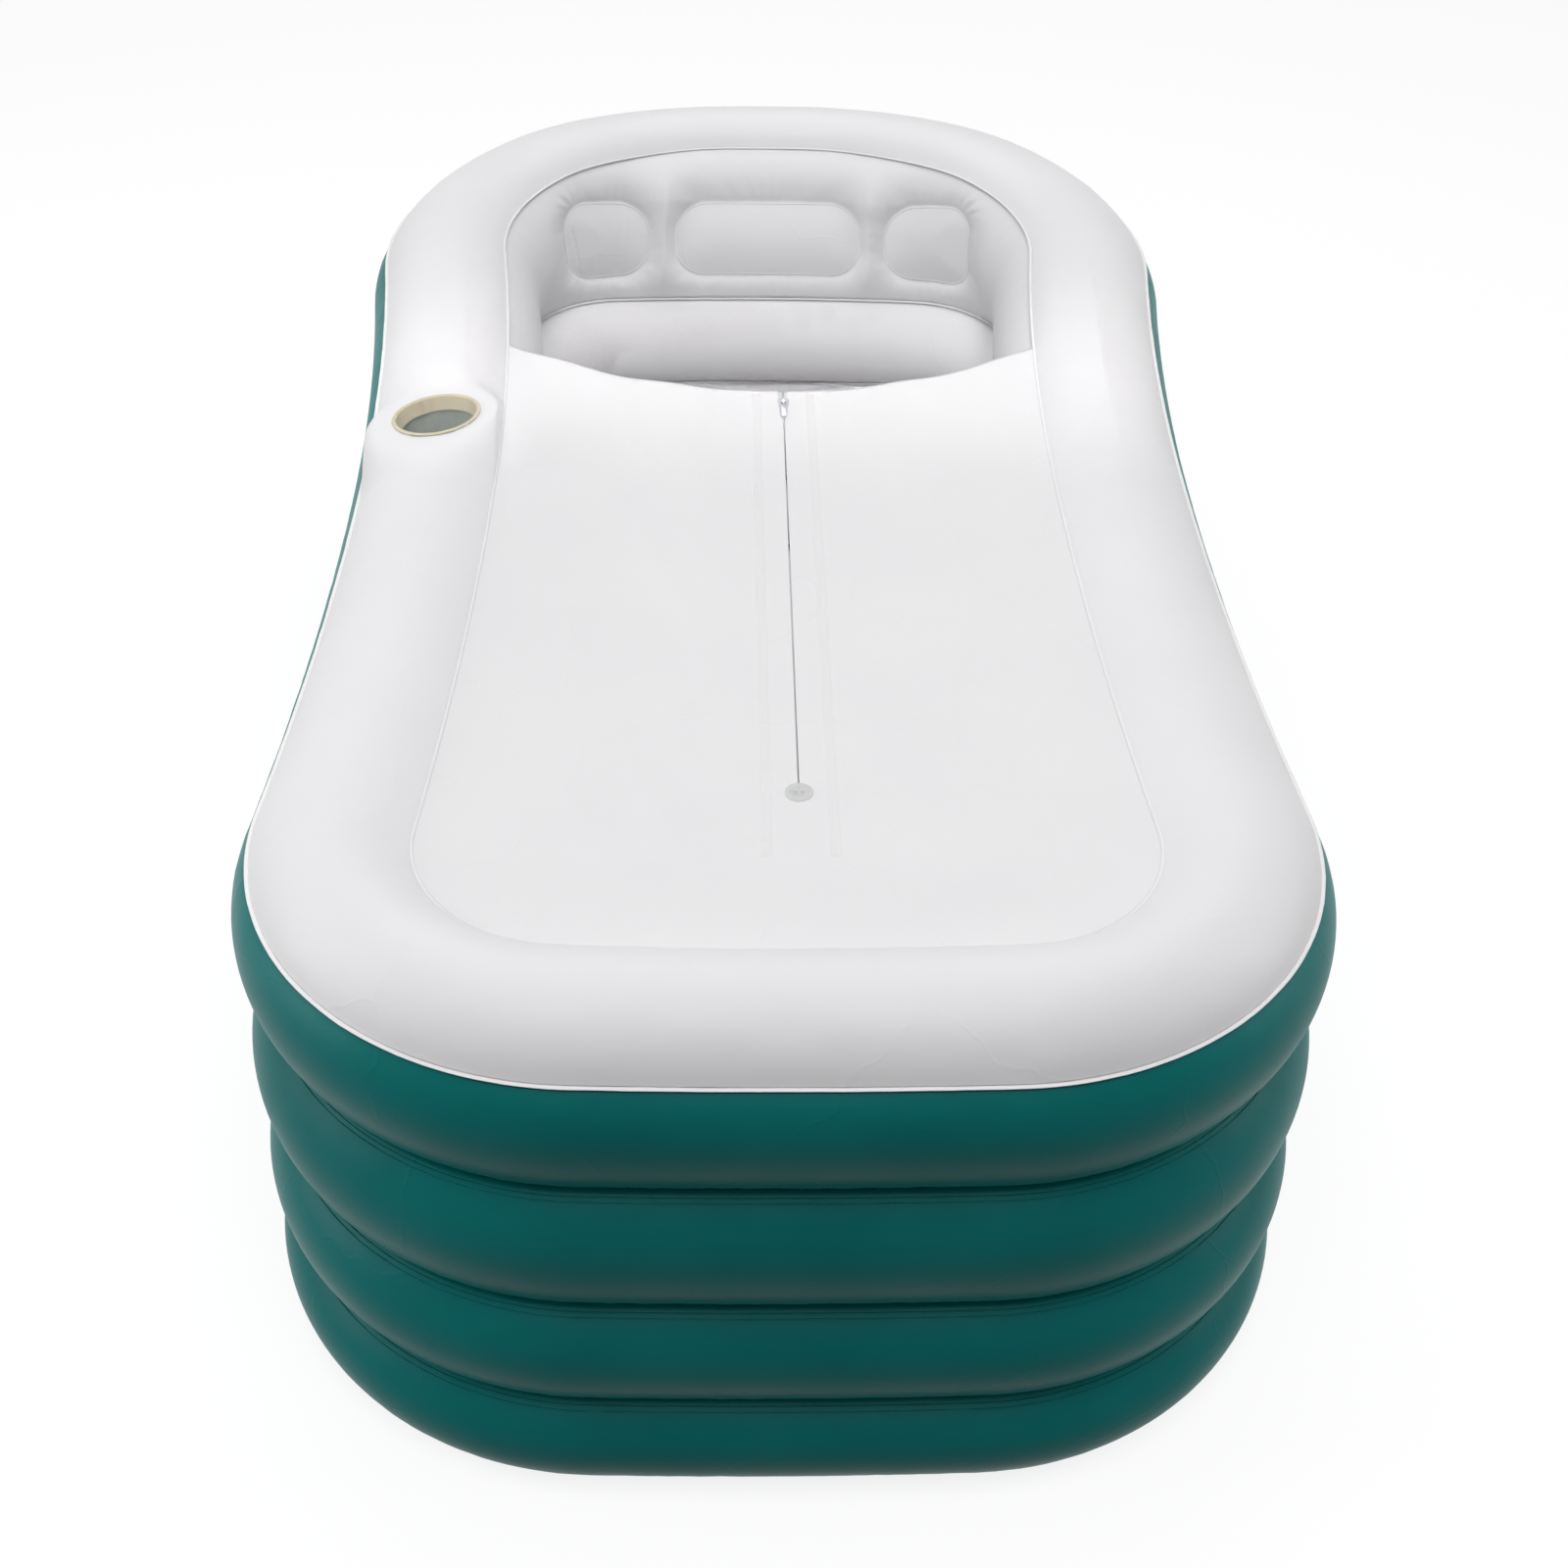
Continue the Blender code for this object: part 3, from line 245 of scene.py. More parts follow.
def film_group():
    """Shader group for calendered film: fine grain, slow waves, faint packing folds and tone."""
    size = "NodeSocketFloat"
    group = new_tree(
        "calendered film", "ShaderNodeTree",
        {"Grain size": (size, 0.0011), "Grain depth": (size, 0.00001), "Wave size": (size, 0.09),
         "Wave depth": (size, 0.0003), "Fold spacing": (size, 0.21), "Fold depth": (size, 0.00015)},
        {"Height": size, "Tone": size},
    )
    given = put(group, "NodeGroupInput").outputs
    place = put(group, "ShaderNodeTexCoord").outputs["Object"]

    def ripple(spacing, detail):
        scale = calc(group, "DIVIDE", 1.0, spacing)
        return put(group, "ShaderNodeTexNoise", {"Vector": place, "Scale": scale, "Detail": detail})

    fine = ripple(given["Grain size"], 2.0).outputs["Fac"]
    grain = calc(group, "MULTIPLY", fine, given["Grain depth"])
    slow = ripple(given["Wave size"], 1.0).outputs["Fac"]
    wave = calc(group, "MULTIPLY", slow, given["Wave depth"])
    bent = put(group, "ShaderNodeMixRGB",
               {"Fac": 0.04, "Color1": place, "Color2": ripple(0.05, 2.0).outputs["Color"]})
    cells = put(group, "ShaderNodeTexVoronoi",
                {"Vector": bent.outputs[0], "Scale": calc(group, "DIVIDE", 1.0, given["Fold spacing"])},
                feature="DISTANCE_TO_EDGE")
    fold = put(group, "ShaderNodeMapRange",
               {"Value": cells.outputs["Distance"], "From Max": 0.012, "To Min": 1.0, "To Max": 0.0},
               interpolation_type="SMOOTHERSTEP").outputs["Result"]
    crease = calc(group, "MULTIPLY", fold, given["Fold depth"])
    height = calc(group, "ADD", calc(group, "ADD", grain, wave), crease)
    tone = ripple(0.13, 3.0).outputs["Fac"]
    put(group, "NodeGroupOutput", {"Height": height, "Tone": tone})
    return group


FILM = film_group()


def new_shader(name, **settings):
    """A material with its Principled shader's own sockets set; gives the material, tree and shader."""
    material = bpy.data.materials.new(name)
    material.use_nodes = True
    shader = material.node_tree.nodes["Principled BSDF"]
    for label, value in settings.items():
        shader.inputs[label.replace("_", " ")].default_value = value
    return material, material.node_tree, shader


def surface_material(name, light, dark, group, gloss_mask, gloss_range, values, **settings):
    """Colour that drifts between two near shades, gloss from a mask, and relief, all from a group."""
    material, tree, shader = new_shader(name, **settings)
    surface = put(tree, "ShaderNodeGroup", node_tree=group)
    for label, value in values.items():
        surface.inputs[label.replace("_", " ").capitalize()].default_value = value
    made = surface.outputs
    drift = {"Value": made["Tone"], "From Min": 0.3, "From Max": 0.7}
    tone = put(tree, "ShaderNodeMapRange", drift).outputs[0]
    colour = put(tree, "ShaderNodeMixRGB", {"Fac": tone, "Color1": (*light, 1), "Color2": (*dark, 1)})
    mask = tone if gloss_mask == "Tone" else made[gloss_mask]
    dull, duller = gloss_range
    gloss = put(tree, "ShaderNodeMapRange", {"Value": mask, "To Min": dull, "To Max": duller})
    bump = put(tree, "ShaderNodeBump", {"Height": made["Height"], "Distance": 1.0, "Strength": 1.0})
    tree.links.new(colour.outputs[0], shader.inputs["Base Color"])
    tree.links.new(gloss.outputs["Result"], shader.inputs["Roughness"])
    tree.links.new(bump.outputs["Normal"], shader.inputs["Normal"])
    return material


def film_material(name, light, dark, roughness, specular=0.25, **film):
    """Film of one colour, whose gloss drifts with its tone."""
    return surface_material(name, light, dark, FILM, "Tone", (roughness - 0.04, roughness + 0.05), film,
                            Specular_IOR_Level=specular)


def sweep(tree, plan, profile):
    """Sweep a profile along a plan's line: the profile's x points inwards, and its y down."""
    path = put(tree, "GeometryNodeMeshToCurve", {"Mesh": plan}).outputs[0]
    path = put(tree, "GeometryNodeSetCurveNormal", {"Curve": path}, mode="Z_UP").outputs[0]
    return put(tree, "GeometryNodeCurveToMesh", {"Curve": path, "Profile Curve": profile}).outputs[0]


def end_tree(tree, geometry, material):
    """End a tree with smooth, real and finished geometry."""
    whole = put(tree, "GeometryNodeSetShadeSmooth", {"Geometry": geometry}).outputs[0]
    whole = put(tree, "GeometryNodeRealizeInstances", {"Geometry": whole}).outputs[0]
    whole = put(tree, "GeometryNodeSetMaterial", {"Geometry": whole, "Material": material}).outputs[0]
    put(tree, "NodeGroupOutput", {0: whole})
    return tree


def inflated_ring_tree():
    """Sweep an inflated arc, puckered beside its welds, round a plan."""
    number = "NodeSocketFloat"
    tree = new_tree(
        "inflated ring", "GeometryNodeTree",
        {"Plan": ("NodeSocketGeometry", None), "Low": (number, 0.0), "High": (number, 0.1),
         "Low inset": (number, 0.0), "High inset": (number, 0.0), "Swell": (number, 0.03),
         "Rows": ("NodeSocketInt", 30), "Pucker depth": (number, 0.0006),
         "Pucker reach": (number, 0.010), "Seed": (number, 0.0), "Film": ("NodeSocketMaterial", None)},
        {"Ring": "NodeSocketGeometry"},
    )
    given = put(tree, "NodeGroupInput").outputs
    span = calc(tree, "SUBTRACT", given["High"], given["Low"])
    bulge = calc(tree, "ABSOLUTE", given["Swell"])
    quarter_square = calc(tree, "DIVIDE", calc(tree, "MULTIPLY", span, span), 4.0)
    sum_of_squares = calc(tree, "ADD", quarter_square, calc(tree, "MULTIPLY", bulge, bulge))
    radius = calc(tree, "DIVIDE", sum_of_squares, calc(tree, "MULTIPLY", bulge, 2.0))
    share = put(tree, "GeometryNodeSplineParameter").outputs["Factor"]
    off_middle = calc(tree, "MULTIPLY", calc(tree, "SUBTRACT", share, 0.5), span)
    drop = calc(tree, "SUBTRACT", calc(tree, "MULTIPLY", radius, radius),
                calc(tree, "MULTIPLY", off_middle, off_middle))
    arc = calc(tree, "SUBTRACT", calc(tree, "SQRT", drop), calc(tree, "SUBTRACT", radius, bulge))
    outward = calc(tree, "MULTIPLY", arc, calc(tree, "SIGN", given["Swell"]))
    lean = calc(tree, "MULTIPLY", calc(tree, "SUBTRACT", given["High inset"], given["Low inset"]), share)
    inset = calc(tree, "SUBTRACT", calc(tree, "ADD", given["Low inset"], lean), outward)
    height = calc(tree, "ADD", given["Low"], calc(tree, "MULTIPLY", span, share))
    place = put(tree, "ShaderNodeCombineXYZ", {"X": inset, "Y": calc(tree, "MULTIPLY", height, -1.0)})
    line = put(tree, "GeometryNodeCurvePrimitiveLine", {"End": (0.0, 1.0, 0.0)}).outputs["Curve"]
    rows = put(tree, "GeometryNodeResampleCurve", {"Curve": line, "Count": given["Rows"]}).outputs[0]
    profile = put(tree, "GeometryNodeSetPosition", {"Geometry": rows, "Position": place.outputs[0]})
    profile = put(tree, "GeometryNodeStoreNamedAttribute",
                  {"Geometry": profile.outputs[0], "Name": "rise", "Value": share},
                  data_type="FLOAT", domain="POINT").outputs[0]
    skin = sweep(tree, given["Plan"], profile)
    rise = put(tree, "GeometryNodeInputNamedAttribute", {"Name": "rise"}, data_type="FLOAT").outputs[0]
    nearer = calc(tree, "MINIMUM", rise, calc(tree, "SUBTRACT", 1.0, rise))
    from_weld = calc(tree, "MULTIPLY", nearer, span)
    reach = calc(tree, "DIVIDE", from_weld, given["Pucker reach"])
    fade = calc(tree, "MULTIPLY", reach, calc(tree, "EXPONENT", calc(tree, "SUBTRACT", 1.0, reach)))
    stretched = put(tree, "ShaderNodeVectorMath",
                    {0: put(tree, "GeometryNodeInputPosition").outputs[0], 1: (70.0, 70.0, 9.0)},
                    operation="MULTIPLY").outputs[0]
    ripple = put(tree, "ShaderNodeTexNoise",
                 {"Vector": stretched, "W": given["Seed"], "Scale": 1.0, "Detail": 1.0},
                 noise_dimensions="4D").outputs["Fac"]
    depth = calc(tree, "MULTIPLY", calc(tree, "SUBTRACT", ripple, 0.5),
                 calc(tree, "MULTIPLY", given["Pucker depth"], 4.0))
    outwards = put(tree, "GeometryNodeInputNormal").outputs[0]
    push = put(tree, "ShaderNodeVectorMath", {0: outwards, "Scale": calc(tree, "MULTIPLY", depth, fade)},
               operation="SCALE").outputs[0]
    skin = put(tree, "GeometryNodeSetPosition", {"Geometry": skin, "Offset": push}).outputs[0]
    return end_tree(tree, skin, given["Film"])


def bead_tree():
    """Sweep a small round bead along a plan, at an inset and a height, with a ragged edge."""
    number = "NodeSocketFloat"
    tree = new_tree(
        "bead", "GeometryNodeTree",
        {"Plan": ("NodeSocketGeometry", None), "Inset": (number, 0.0), "Height": (number, 0.1),
         "Half width": (number, 0.001), "Half thickness": (number, 0.0005),
         "Sides": ("NodeSocketInt", 8), "Ragged": (number, 0.0), "Seed": (number, 0.0),
         "Film": ("NodeSocketMaterial", None)},
        {"Bead": "NodeSocketGeometry"},
    )
    given = put(tree, "NodeGroupInput").outputs
    round_line = put(tree, "GeometryNodeCurvePrimitiveCircle",
                     {"Resolution": given["Sides"], "Radius": 1.0})
    size = put(tree, "ShaderNodeCombineXYZ",
               {"X": given["Half width"], "Y": given["Half thickness"], "Z": 1.0})
    place = put(tree, "ShaderNodeCombineXYZ",
                {"X": given["Inset"], "Y": calc(tree, "MULTIPLY", given["Height"], -1.0)})
    profile = put(tree, "GeometryNodeTransform",
                  {"Geometry": round_line.outputs["Curve"], "Translation": place.outputs[0],
                   "Scale": size.outputs[0]})
    bead = sweep(tree, given["Plan"], profile.outputs[0])
    ripple = put(tree, "ShaderNodeTexNoise", {"W": given["Seed"], "Scale": 45.0, "Detail": 3.0},
                 noise_dimensions="4D").outputs["Color"]
    sway = put(tree, "ShaderNodeVectorMath", {0: ripple, 1: (0.5, 0.5, 0.5)},
               operation="SUBTRACT").outputs[0]
    push = put(tree, "ShaderNodeVectorMath", {0: sway, "Scale": given["Ragged"]}, operation="SCALE")
    bead = put(tree, "GeometryNodeSetPosition", {"Geometry": bead, "Offset": push.outputs[0]}).outputs[0]
    return end_tree(tree, bead, given["Film"])


def plan_line(name, plan, ring):
    """A closed line of edges along a plan, for a node tree to sweep."""
    mesh = bpy.data.meshes.new(name)
    points = [(*plan.at(station), 0) for station in ring]
    mesh.from_pydata(points, [(i, (i + 1) % len(points)) for i in range(len(points))], [])
    return mesh


def press_flat(item, matrix, near, far):
    """Press a patch of film flat in the plane z = 0 of a matrix, easing out from near to far."""
    back = matrix.inverted()
    for vertex in item.data.vertices:
        local = back @ vertex.co
        away = math.hypot(local.x, local.y)
        if away < far and abs(local.z) < near:
            local.z *= smooth((away - near) / (far - near))
            vertex.co = matrix @ local


def facing(origin, axis):
    """Axes at a point with z along an outward direction, and y as near upright as can be."""
    axis = Vector(axis).normalized()
    side = Vector((0, 0, 1)).cross(axis).normalized()
    turn = Matrix((side, axis.cross(side), axis)).transposed().to_4x4()
    return Matrix.Translation(origin) @ turn


RING_TREE = inflated_ring_tree()
BEAD_TREE = bead_tree()
LEVELS = (0.0, 0.098, 0.210, 0.338, 0.452)
LAYER = 0.0009
END_LAYER = 0.0012
CREASE_INSET = 0.0285
PIPING_INSET = 0.0177
tub_plan = Plan(0.425, 0.0266, (0.8, 0.345, 5.9, (0.12, 0.53)), (0.8, 0.28, 5.0, (0.16, 0.5285)))
FINE_HEAD = sorted({*(i / 116 for i in range(117)), 0.12, 0.53})
FINE_FOOT = sorted({*(i / 116 for i in range(117)), 0.16, 0.5285})
fine_ring = stations_round(FINE_HEAD, FINE_FOOT)
teal_film = film_material("teal film", (0.0, 0.170, 0.164), (0.0, 0.148, 0.143), 0.40, specular=0.12,
                          grain_depth=0.000012, wave_depth=0.0005, fold_depth=0.00010)
valve_seats = {
    1: facing((-0.35488, 0.65827, 0.04915), (-0.80323, 0.59567, 0.0)),
    2: facing((-0.35483, 0.65824, 0.154), (-0.80323, 0.59567, 0.0)),
    4: facing((-0.35492, 0.65830, 0.39485), (-0.79955, 0.59295, -0.09553)),
}
drain_seat = facing((0.39900, -0.08313, 0.04915), (1.0, 0.0, 0.0))
VALVE_NECK = 0.0125
DRAIN_TUBE = 0.0138
VALVE_PATCH, DRAIN_PATCH = (0.021, 0.040), (0.022, 0.042)
for number in (1, 2, 3, 4):
    low, high = LEVELS[number - 1], LEVELS[number]
    top_inset = PIPING_INSET if number == 4 else CREASE_INSET
    path = plan_line(f"tub plan {number}", tub_plan, fine_ring)
    ring = grow(f"outer_ring_{number}", path, RING_TREE, {
        "Low": low + (END_LAYER if number == 1 else LAYER),
        "High": high - (END_LAYER if number == 4 else LAYER),
        "Low inset": CREASE_INSET, "High inset": top_inset, "Swell": (CREASE_INSET + top_inset) / 2,
        "Rows": 32, "Pucker depth": 0.0005, "Pucker reach": 0.009, "Seed": 3.0 * number,
        "Film": teal_film})
    holes = []
    if number in valve_seats:
        press_flat(ring, valve_seats[number], *VALVE_PATCH)
        holes.append((valve_seats[number], VALVE_NECK + FILM_THICKNESS, -0.012, 0.004))
    if number == 1:
        press_flat(ring, drain_seat, *DRAIN_PATCH)
        holes.append((drain_seat, DRAIN_TUBE + FILM_THICKNESS, -0.019, 0.006))
    thicken(ring)
    if holes:
        cut_holes(ring, holes)
    fit(ring, "teal_pvc", f"outer_wall_ring_{number}")
for number in (1, 2, 3):
    for line, depth in enumerate((0.0052, 0.0082)):
        span = LEVELS[number] - LEVELS[number - 1]
        inset = CREASE_INSET - swell_at(1 - depth / span, CREASE_INSET, span)
        path = plan_line("weld line", tub_plan, fine_ring)
        bead = grow(f"weld_line_{number}_{line + 1}", path, BEAD_TREE, {
            "Inset": inset + 0.0001, "Height": LEVELS[number] - depth, "Half width": 0.0007,
            "Half thickness": 0.0005, "Ragged": 0.0006, "Seed": 5.0 * number + line, "Film": teal_film})
        fit(bead, "teal_pvc")


# Base sheet and webs: flat cuts of white film. The base is welded under the lowest ring, and each
# web runs through the wall from the outer crease to the inner one, where it shows as a thin lip.
MERGE_DISTANCE = 0.00002


def merge(bm):
    """Close seams and poles."""
    bmesh.ops.remove_doubles(bm, verts=bm.verts, dist=MERGE_DISTANCE)
    bmesh.ops.dissolve_degenerate(bm, edges=bm.edges, dist=MERGE_DISTANCE)
    return bm


def sheet_grid(rows, closed=False):
    """A sheet through rows of points; points that meet are merged."""
    bm = bmesh.new()
    grid = [[bm.verts.new(point) for point in row] for row in rows]
    if closed:
        grid.append(grid[0])
    for row, after in zip(grid, grid[1:]):
        for corners in zip(row, row[1:], after[1:], after):
            bm.faces.new(corners)
    return merge(bm)


wall_plan = Plan(0.273, 0.025, (0.574, 0.11, 2.55, (0.17, 0.5)), (0.655, 0.11, 2.55, (0.16, 0.53)))
WHITE_LIGHT = (0.850, 0.840, 0.852)
WHITE_DARK = (0.828, 0.818, 0.832)
white_film = film_material("white film", WHITE_LIGHT, WHITE_DARK, 0.42, grain_depth=0.000012,
                           wave_depth=0.0004, fold_depth=0.00012)
INNER_LEVELS = (0.098, 0.240, 0.338)
ROLL_LEAN = 0.018
WEB_SETBACK, WEB_LIP = 0.0005, 0.0035
for number, (level, inner_level) in enumerate(zip(LEVELS[1:4], INNER_LEVELS), 1):
    rows = []
    for station in fine_ring:
        outer = Vector((*tub_plan.at(station, CREASE_INSET + WEB_SETBACK), level))
        lean = ROLL_LEAN if number == 2 else 0.0
        inner = Vector((*wall_plan.at(station, WEB_LIP + lean), inner_level))
        rows.append([outer.lerp(inner, step / 4) for step in range(5)])
    web = thicken(add_piece(f"web_{number}", sheet_grid(rows, True), white_film))
    fit(web, "white_pvc", f"ring_web_{number}")
dress("base_sheet", white_film)


# Inner wall: three white rings between the base, the webs and the backrest. They are swept as the
# outer rings are, and bulge into the well. The drain's inner flange presses a seat in the lowest.
inner_lows = (END_LAYER, INNER_LEVELS[0] + LAYER, INNER_LEVELS[1] + LAYER)
inner_leans = ((0.0, 0.0), (0.0, ROLL_LEAN), (ROLL_LEAN, 0.0))
inner_drain_seat = facing((0.2152, -0.08313, 0.04915), (1.0, 0.0, 0.0))
INNER_FLANGE = 0.0024
for number, low, level, leans in zip((1, 2, 3), inner_lows, INNER_LEVELS, inner_leans):
    path = plan_line(f"wall plan {number}", wall_plan, fine_ring)
    ring = grow(f"inner_ring_{number}", path, RING_TREE, {
        "Low": low, "High": level - LAYER, "Low inset": leans[0], "High inset": leans[1],
        "Swell": -0.033, "Rows": 30, "Pucker depth": 0.0006, "Pucker reach": 0.010,
        "Seed": 20.0 + number, "Film": white_film})
    if number == 1:
        inner_drain_seat.translation.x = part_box("drain_fitting")[0].x + INNER_FLANGE
        press_flat(ring, inner_drain_seat, *DRAIN_PATCH)
    thicken(ring)
    if number == 1:
        cut_holes(ring, [(inner_drain_seat, DRAIN_TUBE + FILM_THICKNESS, -0.019, 0.019)])
    fit(ring, "white_pvc", f"inner_wall_ring_{number}")


# Floor: a second sheet over the base, welded down round its edge and along its channels, and
# blown up a few centimetres into a flat cushion of air.
FLOOR_MARGIN, FLOOR_SWELL, FLOOR_STEPS = 0.052, 0.045, 72
rows = []
coarse = sorted({*(i / 60 for i in range(61)), 0.16, 0.53})
for station in stations_round(coarse, coarse):
    edge = wall_plan.at(station, FLOOR_MARGIN)
    spine = Vector((0.0, max(-0.435, min(0.348, edge.y))))
    row = []
    for step in range(FLOOR_STEPS + 1):
        share = step / FLOOR_STEPS
        hump = math.sqrt(abs(math.sin(2 * math.pi * share)))
        if share > 0.25:
            hump = 0.62 + 0.38 * hump
        across = edge.lerp(spine, share)
        pucker = 0.0006 * noise.noise((across.x * 50, across.y * 50, 3.0)) * hump
        row.append((*across, END_LAYER + FLOOR_SWELL * hump + pucker))
    rows.append(row)
floor_skin = thicken(add_piece("floor_skin", sheet_grid(rows, True), white_film))
fit(floor_skin, "white_pvc", "floor_top_skin")


# Backrest and upper wall: one tall white sheet from the rim's seam down to the top web. At the head
# it slopes as a backrest, and three welded tufts on straps hold it in, each a small pillow inside a
# flat weld. The film folds at the outer corners of the side tufts.
seam_plan = Plan(0.2825, 0.025, (0.69, 0.25, 3.0, (0.04, 0.48)), (0.673, 0.12, 2.55, (0.16, 0.53)))
SEAM_LEVEL = 0.475
WELD_LIP = 0.0035
# For each tuft: its middle, its half width, how far it sits up, how much its outer edge leans, the
# radius of its outer corners, and how steeply it climbs towards the side.
TUFTS = ((-0.1825, 0.0475, 0.008, 0.13, 0.027, 0.13),
         (0.003, 0.107, 0.0, 0.0, 0.034, 0.0),
         (0.187, 0.0475, 0.007, 0.0, 0.022, 0.17))
TUFT_HALF_HEIGHT = 0.042
TUFT_LEVEL = 0.62
HOLD_REACH = 0.036
PILLOW = 0.0075
GROOVE_DEPTH, GROOVE_PLACE, GROOVE_WIDTH = 0.0010, 0.0024, 0.0018
# The fold down the left tuft: its upper end from the tuft's middle, and its run from there.
FOLD_TOP, FOLD_RUN = (-0.0430, 0.033), (0.0134, -0.064)
SEAM_DIP, SEAM_GAP, COVER_GAP = 0.0055, 0.0007, 0.0011
BACKREST_SWELL = 0.030


def over_tuft(across, up, tuft):
    """Height over the line through the middle of a tuft."""
    return up - tuft[2] - tuft[5] * (abs(across) - abs(tuft[0]))


def tuft_distance(across, up, tuft, rise=1.0):
    """Distance from a tuft's weld, below zero inside it; rise shortens distances above it."""
    middle, half_width, _, lean, corner, _ = tuft
    up = over_tuft(across, up, tuft)
    if (across - middle) * middle > 0:
        half_width += lean * up
    else:
        corner = 0.036
    x = abs(across - middle) - half_width + corner
    y = abs(up) - TUFT_HALF_HEIGHT + corner
    if y > corner and up > 0:
        y = corner + (y - corner) * rise
    return math.hypot(max(x, 0), max(y, 0)) + min(max(x, y), 0) - corner


def tuft_relief(across, up):
    """How far the tufts hold the sheet in, from 0 to 1, and the height of their own relief."""
    hold, relief = 0.0, 0.0
    for tuft in TUFTS:
        middle, half_width = tuft[:2]
        away = tuft_distance(across, up, tuft)
        held = tuft_distance(across, up, tuft, 0.62)
        hold = max(hold, (1 - min(1.0, max(0.0, held / HOLD_REACH))) ** 1.6)
        if away < 0:
            inside = min(1.0, -away / TUFT_HALF_HEIGHT)
            relief += PILLOW * (1 - (1 - inside) ** 2)
        relief -= GROOVE_DEPTH * math.exp(-((away - GROOVE_PLACE) / GROOVE_WIDTH) ** 2)
        if 0 < away < 0.03:
            turn = math.atan2(up - tuft[2], across - middle)
            ripple = noise.noise((turn * 7, middle * 40, 0.5))
            relief += 0.0012 * ripple * (away / 0.008) * math.exp(1 - away / 0.008)
        if abs(middle) > 0.1:
            side = 1 if middle > 0 else -1
            x, y = side * (across - middle) - half_width + 0.014, over_tuft(across, up, tuft) - 0.030
            radius, turn = math.hypot(x, y), math.degrees(math.atan2(y, x))
            sector = math.exp(-((turn - 52) / 26) ** 2)
            ring = math.exp(-((radius - 0.026) / 0.010) ** 2)
            relief += 0.0014 * math.cos(math.radians(turn * 19)) * sector * ring
    along = Vector(FOLD_RUN).normalized()
    fold = Vector((across - TUFTS[0][0], up)) - Vector(FOLD_TOP)
    if 0 < fold.dot(along) < 0.064:
        relief -= 0.0013 * math.exp(-(fold.cross(along) / 0.0009) ** 2)
    return hold, relief


def seam_level(edge):
    """The seam of the opening dips a little in the middle of the head."""
    return SEAM_LEVEL - SEAM_DIP * smooth((edge.y - 0.60) / 0.08)


def upper_wall_point(station, share, raised=0.0):
    """A point of the wall on a station; with raised, its height over the wall is added."""
    edge = seam_plan.at(station, -WELD_LIP)
    under_cover = 1 - smooth((edge.y - 0.24) / 0.03)
    top = Vector((*edge, seam_level(edge) - SEAM_GAP - COVER_GAP * under_cover))
    bottom = Vector((*wall_plan.at(station), LEVELS[3] + LAYER))
    chord = bottom - top
    inward = Vector((*(seam_plan.inward(station) + wall_plan.inward(station)), 0)).normalized()
    along = chord.normalized()
    outwards = (inward - along * inward.dot(along)).normalized()
    flat = top + chord * share
    swell = swell_at(share, BACKREST_SWELL, chord.length)
    relief = 0.0
    if station[1] == 0 and station[2] < 0.55:
        hold, relief = tuft_relief(flat.x, (TUFT_LEVEL - share) * chord.length)
        swell *= 1 - 0.80 * hold
    from_weld = min(share, 1 - share) * chord.length / 0.012
    pucker = noise.noise((flat.x * 60, flat.y * 60, flat.z * 9)) * from_weld * math.exp(1 - from_weld)
    return flat + outwards * (swell + relief + 0.0007 * pucker + raised)


head_shares = sorted({*(i * 0.45 / 190 for i in range(191)), *(0.45 + i * 0.55 / 40 for i in range(41))})
foot_shares = sorted({*(i / 70 for i in range(71)), 0.16, 0.53})
falls = sorted({*(i / 13 * 0.13 for i in range(14)), *(0.13 + i * 0.75 / 58 for i in range(59)),
                *(0.88 + i * 0.12 / 8 for i in range(9))})
ring_stations = stations_round(head_shares, foot_shares)
rows = [[upper_wall_point(station, share) for share in falls] for station in ring_stations]
# The backrest and its tuft welds take a darker copy of the white film: painted shade, so the wall of the
# well reads darker than the rim.
backrest_shaded_film = film_material("backrest film with painted shade", (0.800, 0.790, 0.803), (0.780, 0.770, 0.784), 0.42,
                              grain_depth=0.000012, wave_depth=0.0004, fold_depth=0.00012)
backrest = thicken(add_piece("backrest_wall", sheet_grid(rows, True), backrest_shaded_film))
fit(backrest, "white_pvc", "upper_inner_wall")


def on_backrest(across, up, raised):
    """The point of the backrest at a place in the tufts' flat pattern."""
    def on_chord(head_share):
        station = (1 if across > 0 else -1, 0, head_share)
        top = Vector((*seam_plan.at(station, -WELD_LIP), SEAM_LEVEL - SEAM_GAP))
        chord = Vector((*wall_plan.at(station), LEVELS[3] + LAYER)) - top
        share = TUFT_LEVEL - up / chord.length
        return station, share, top + chord * share

    head_share = halved(0.0, 0.5, 18, lambda head_share: abs(on_chord(head_share)[2].x) < abs(across))
    return upper_wall_point(*on_chord(head_share)[:2], raised)


# The bead of a weld in section: places across it, and their heights over the film.
weld_section = ((-0.0011, 0.0004), (-0.0008, 0.0010), (0.0, 0.0012), (0.0008, 0.0010), (0.0011, 0.0004),
                (0.0, 0.0001))
for name, tuft in zip(("left", "middle", "right"), TUFTS):
    rings = []
    centre = Vector((tuft[0], tuft[2]))
    for step in range(180):
        turn = 2 * math.pi * step / 180
        out = Vector((math.cos(turn), math.sin(turn)))
        reach = halved(0.0, 0.2, 16, lambda reach: tuft_distance(*(centre + out * reach), tuft) < 0)
        ring = [on_backrest(*(centre + out * (reach + offset)), raised)
                for offset, raised in weld_section]
        rings.append(ring + ring[:1])
    weld = sheet_grid(rings, True)
    bmesh.ops.recalc_face_normals(weld, faces=weld.faces)
    # The weld takes the backrest's darker film, with its painted shade.
    fit(add_piece(f"tuft_weld_{name}", weld, backrest_shaded_film), "white_pvc")
    dress(f"backrest_strap_{name}", white_film)


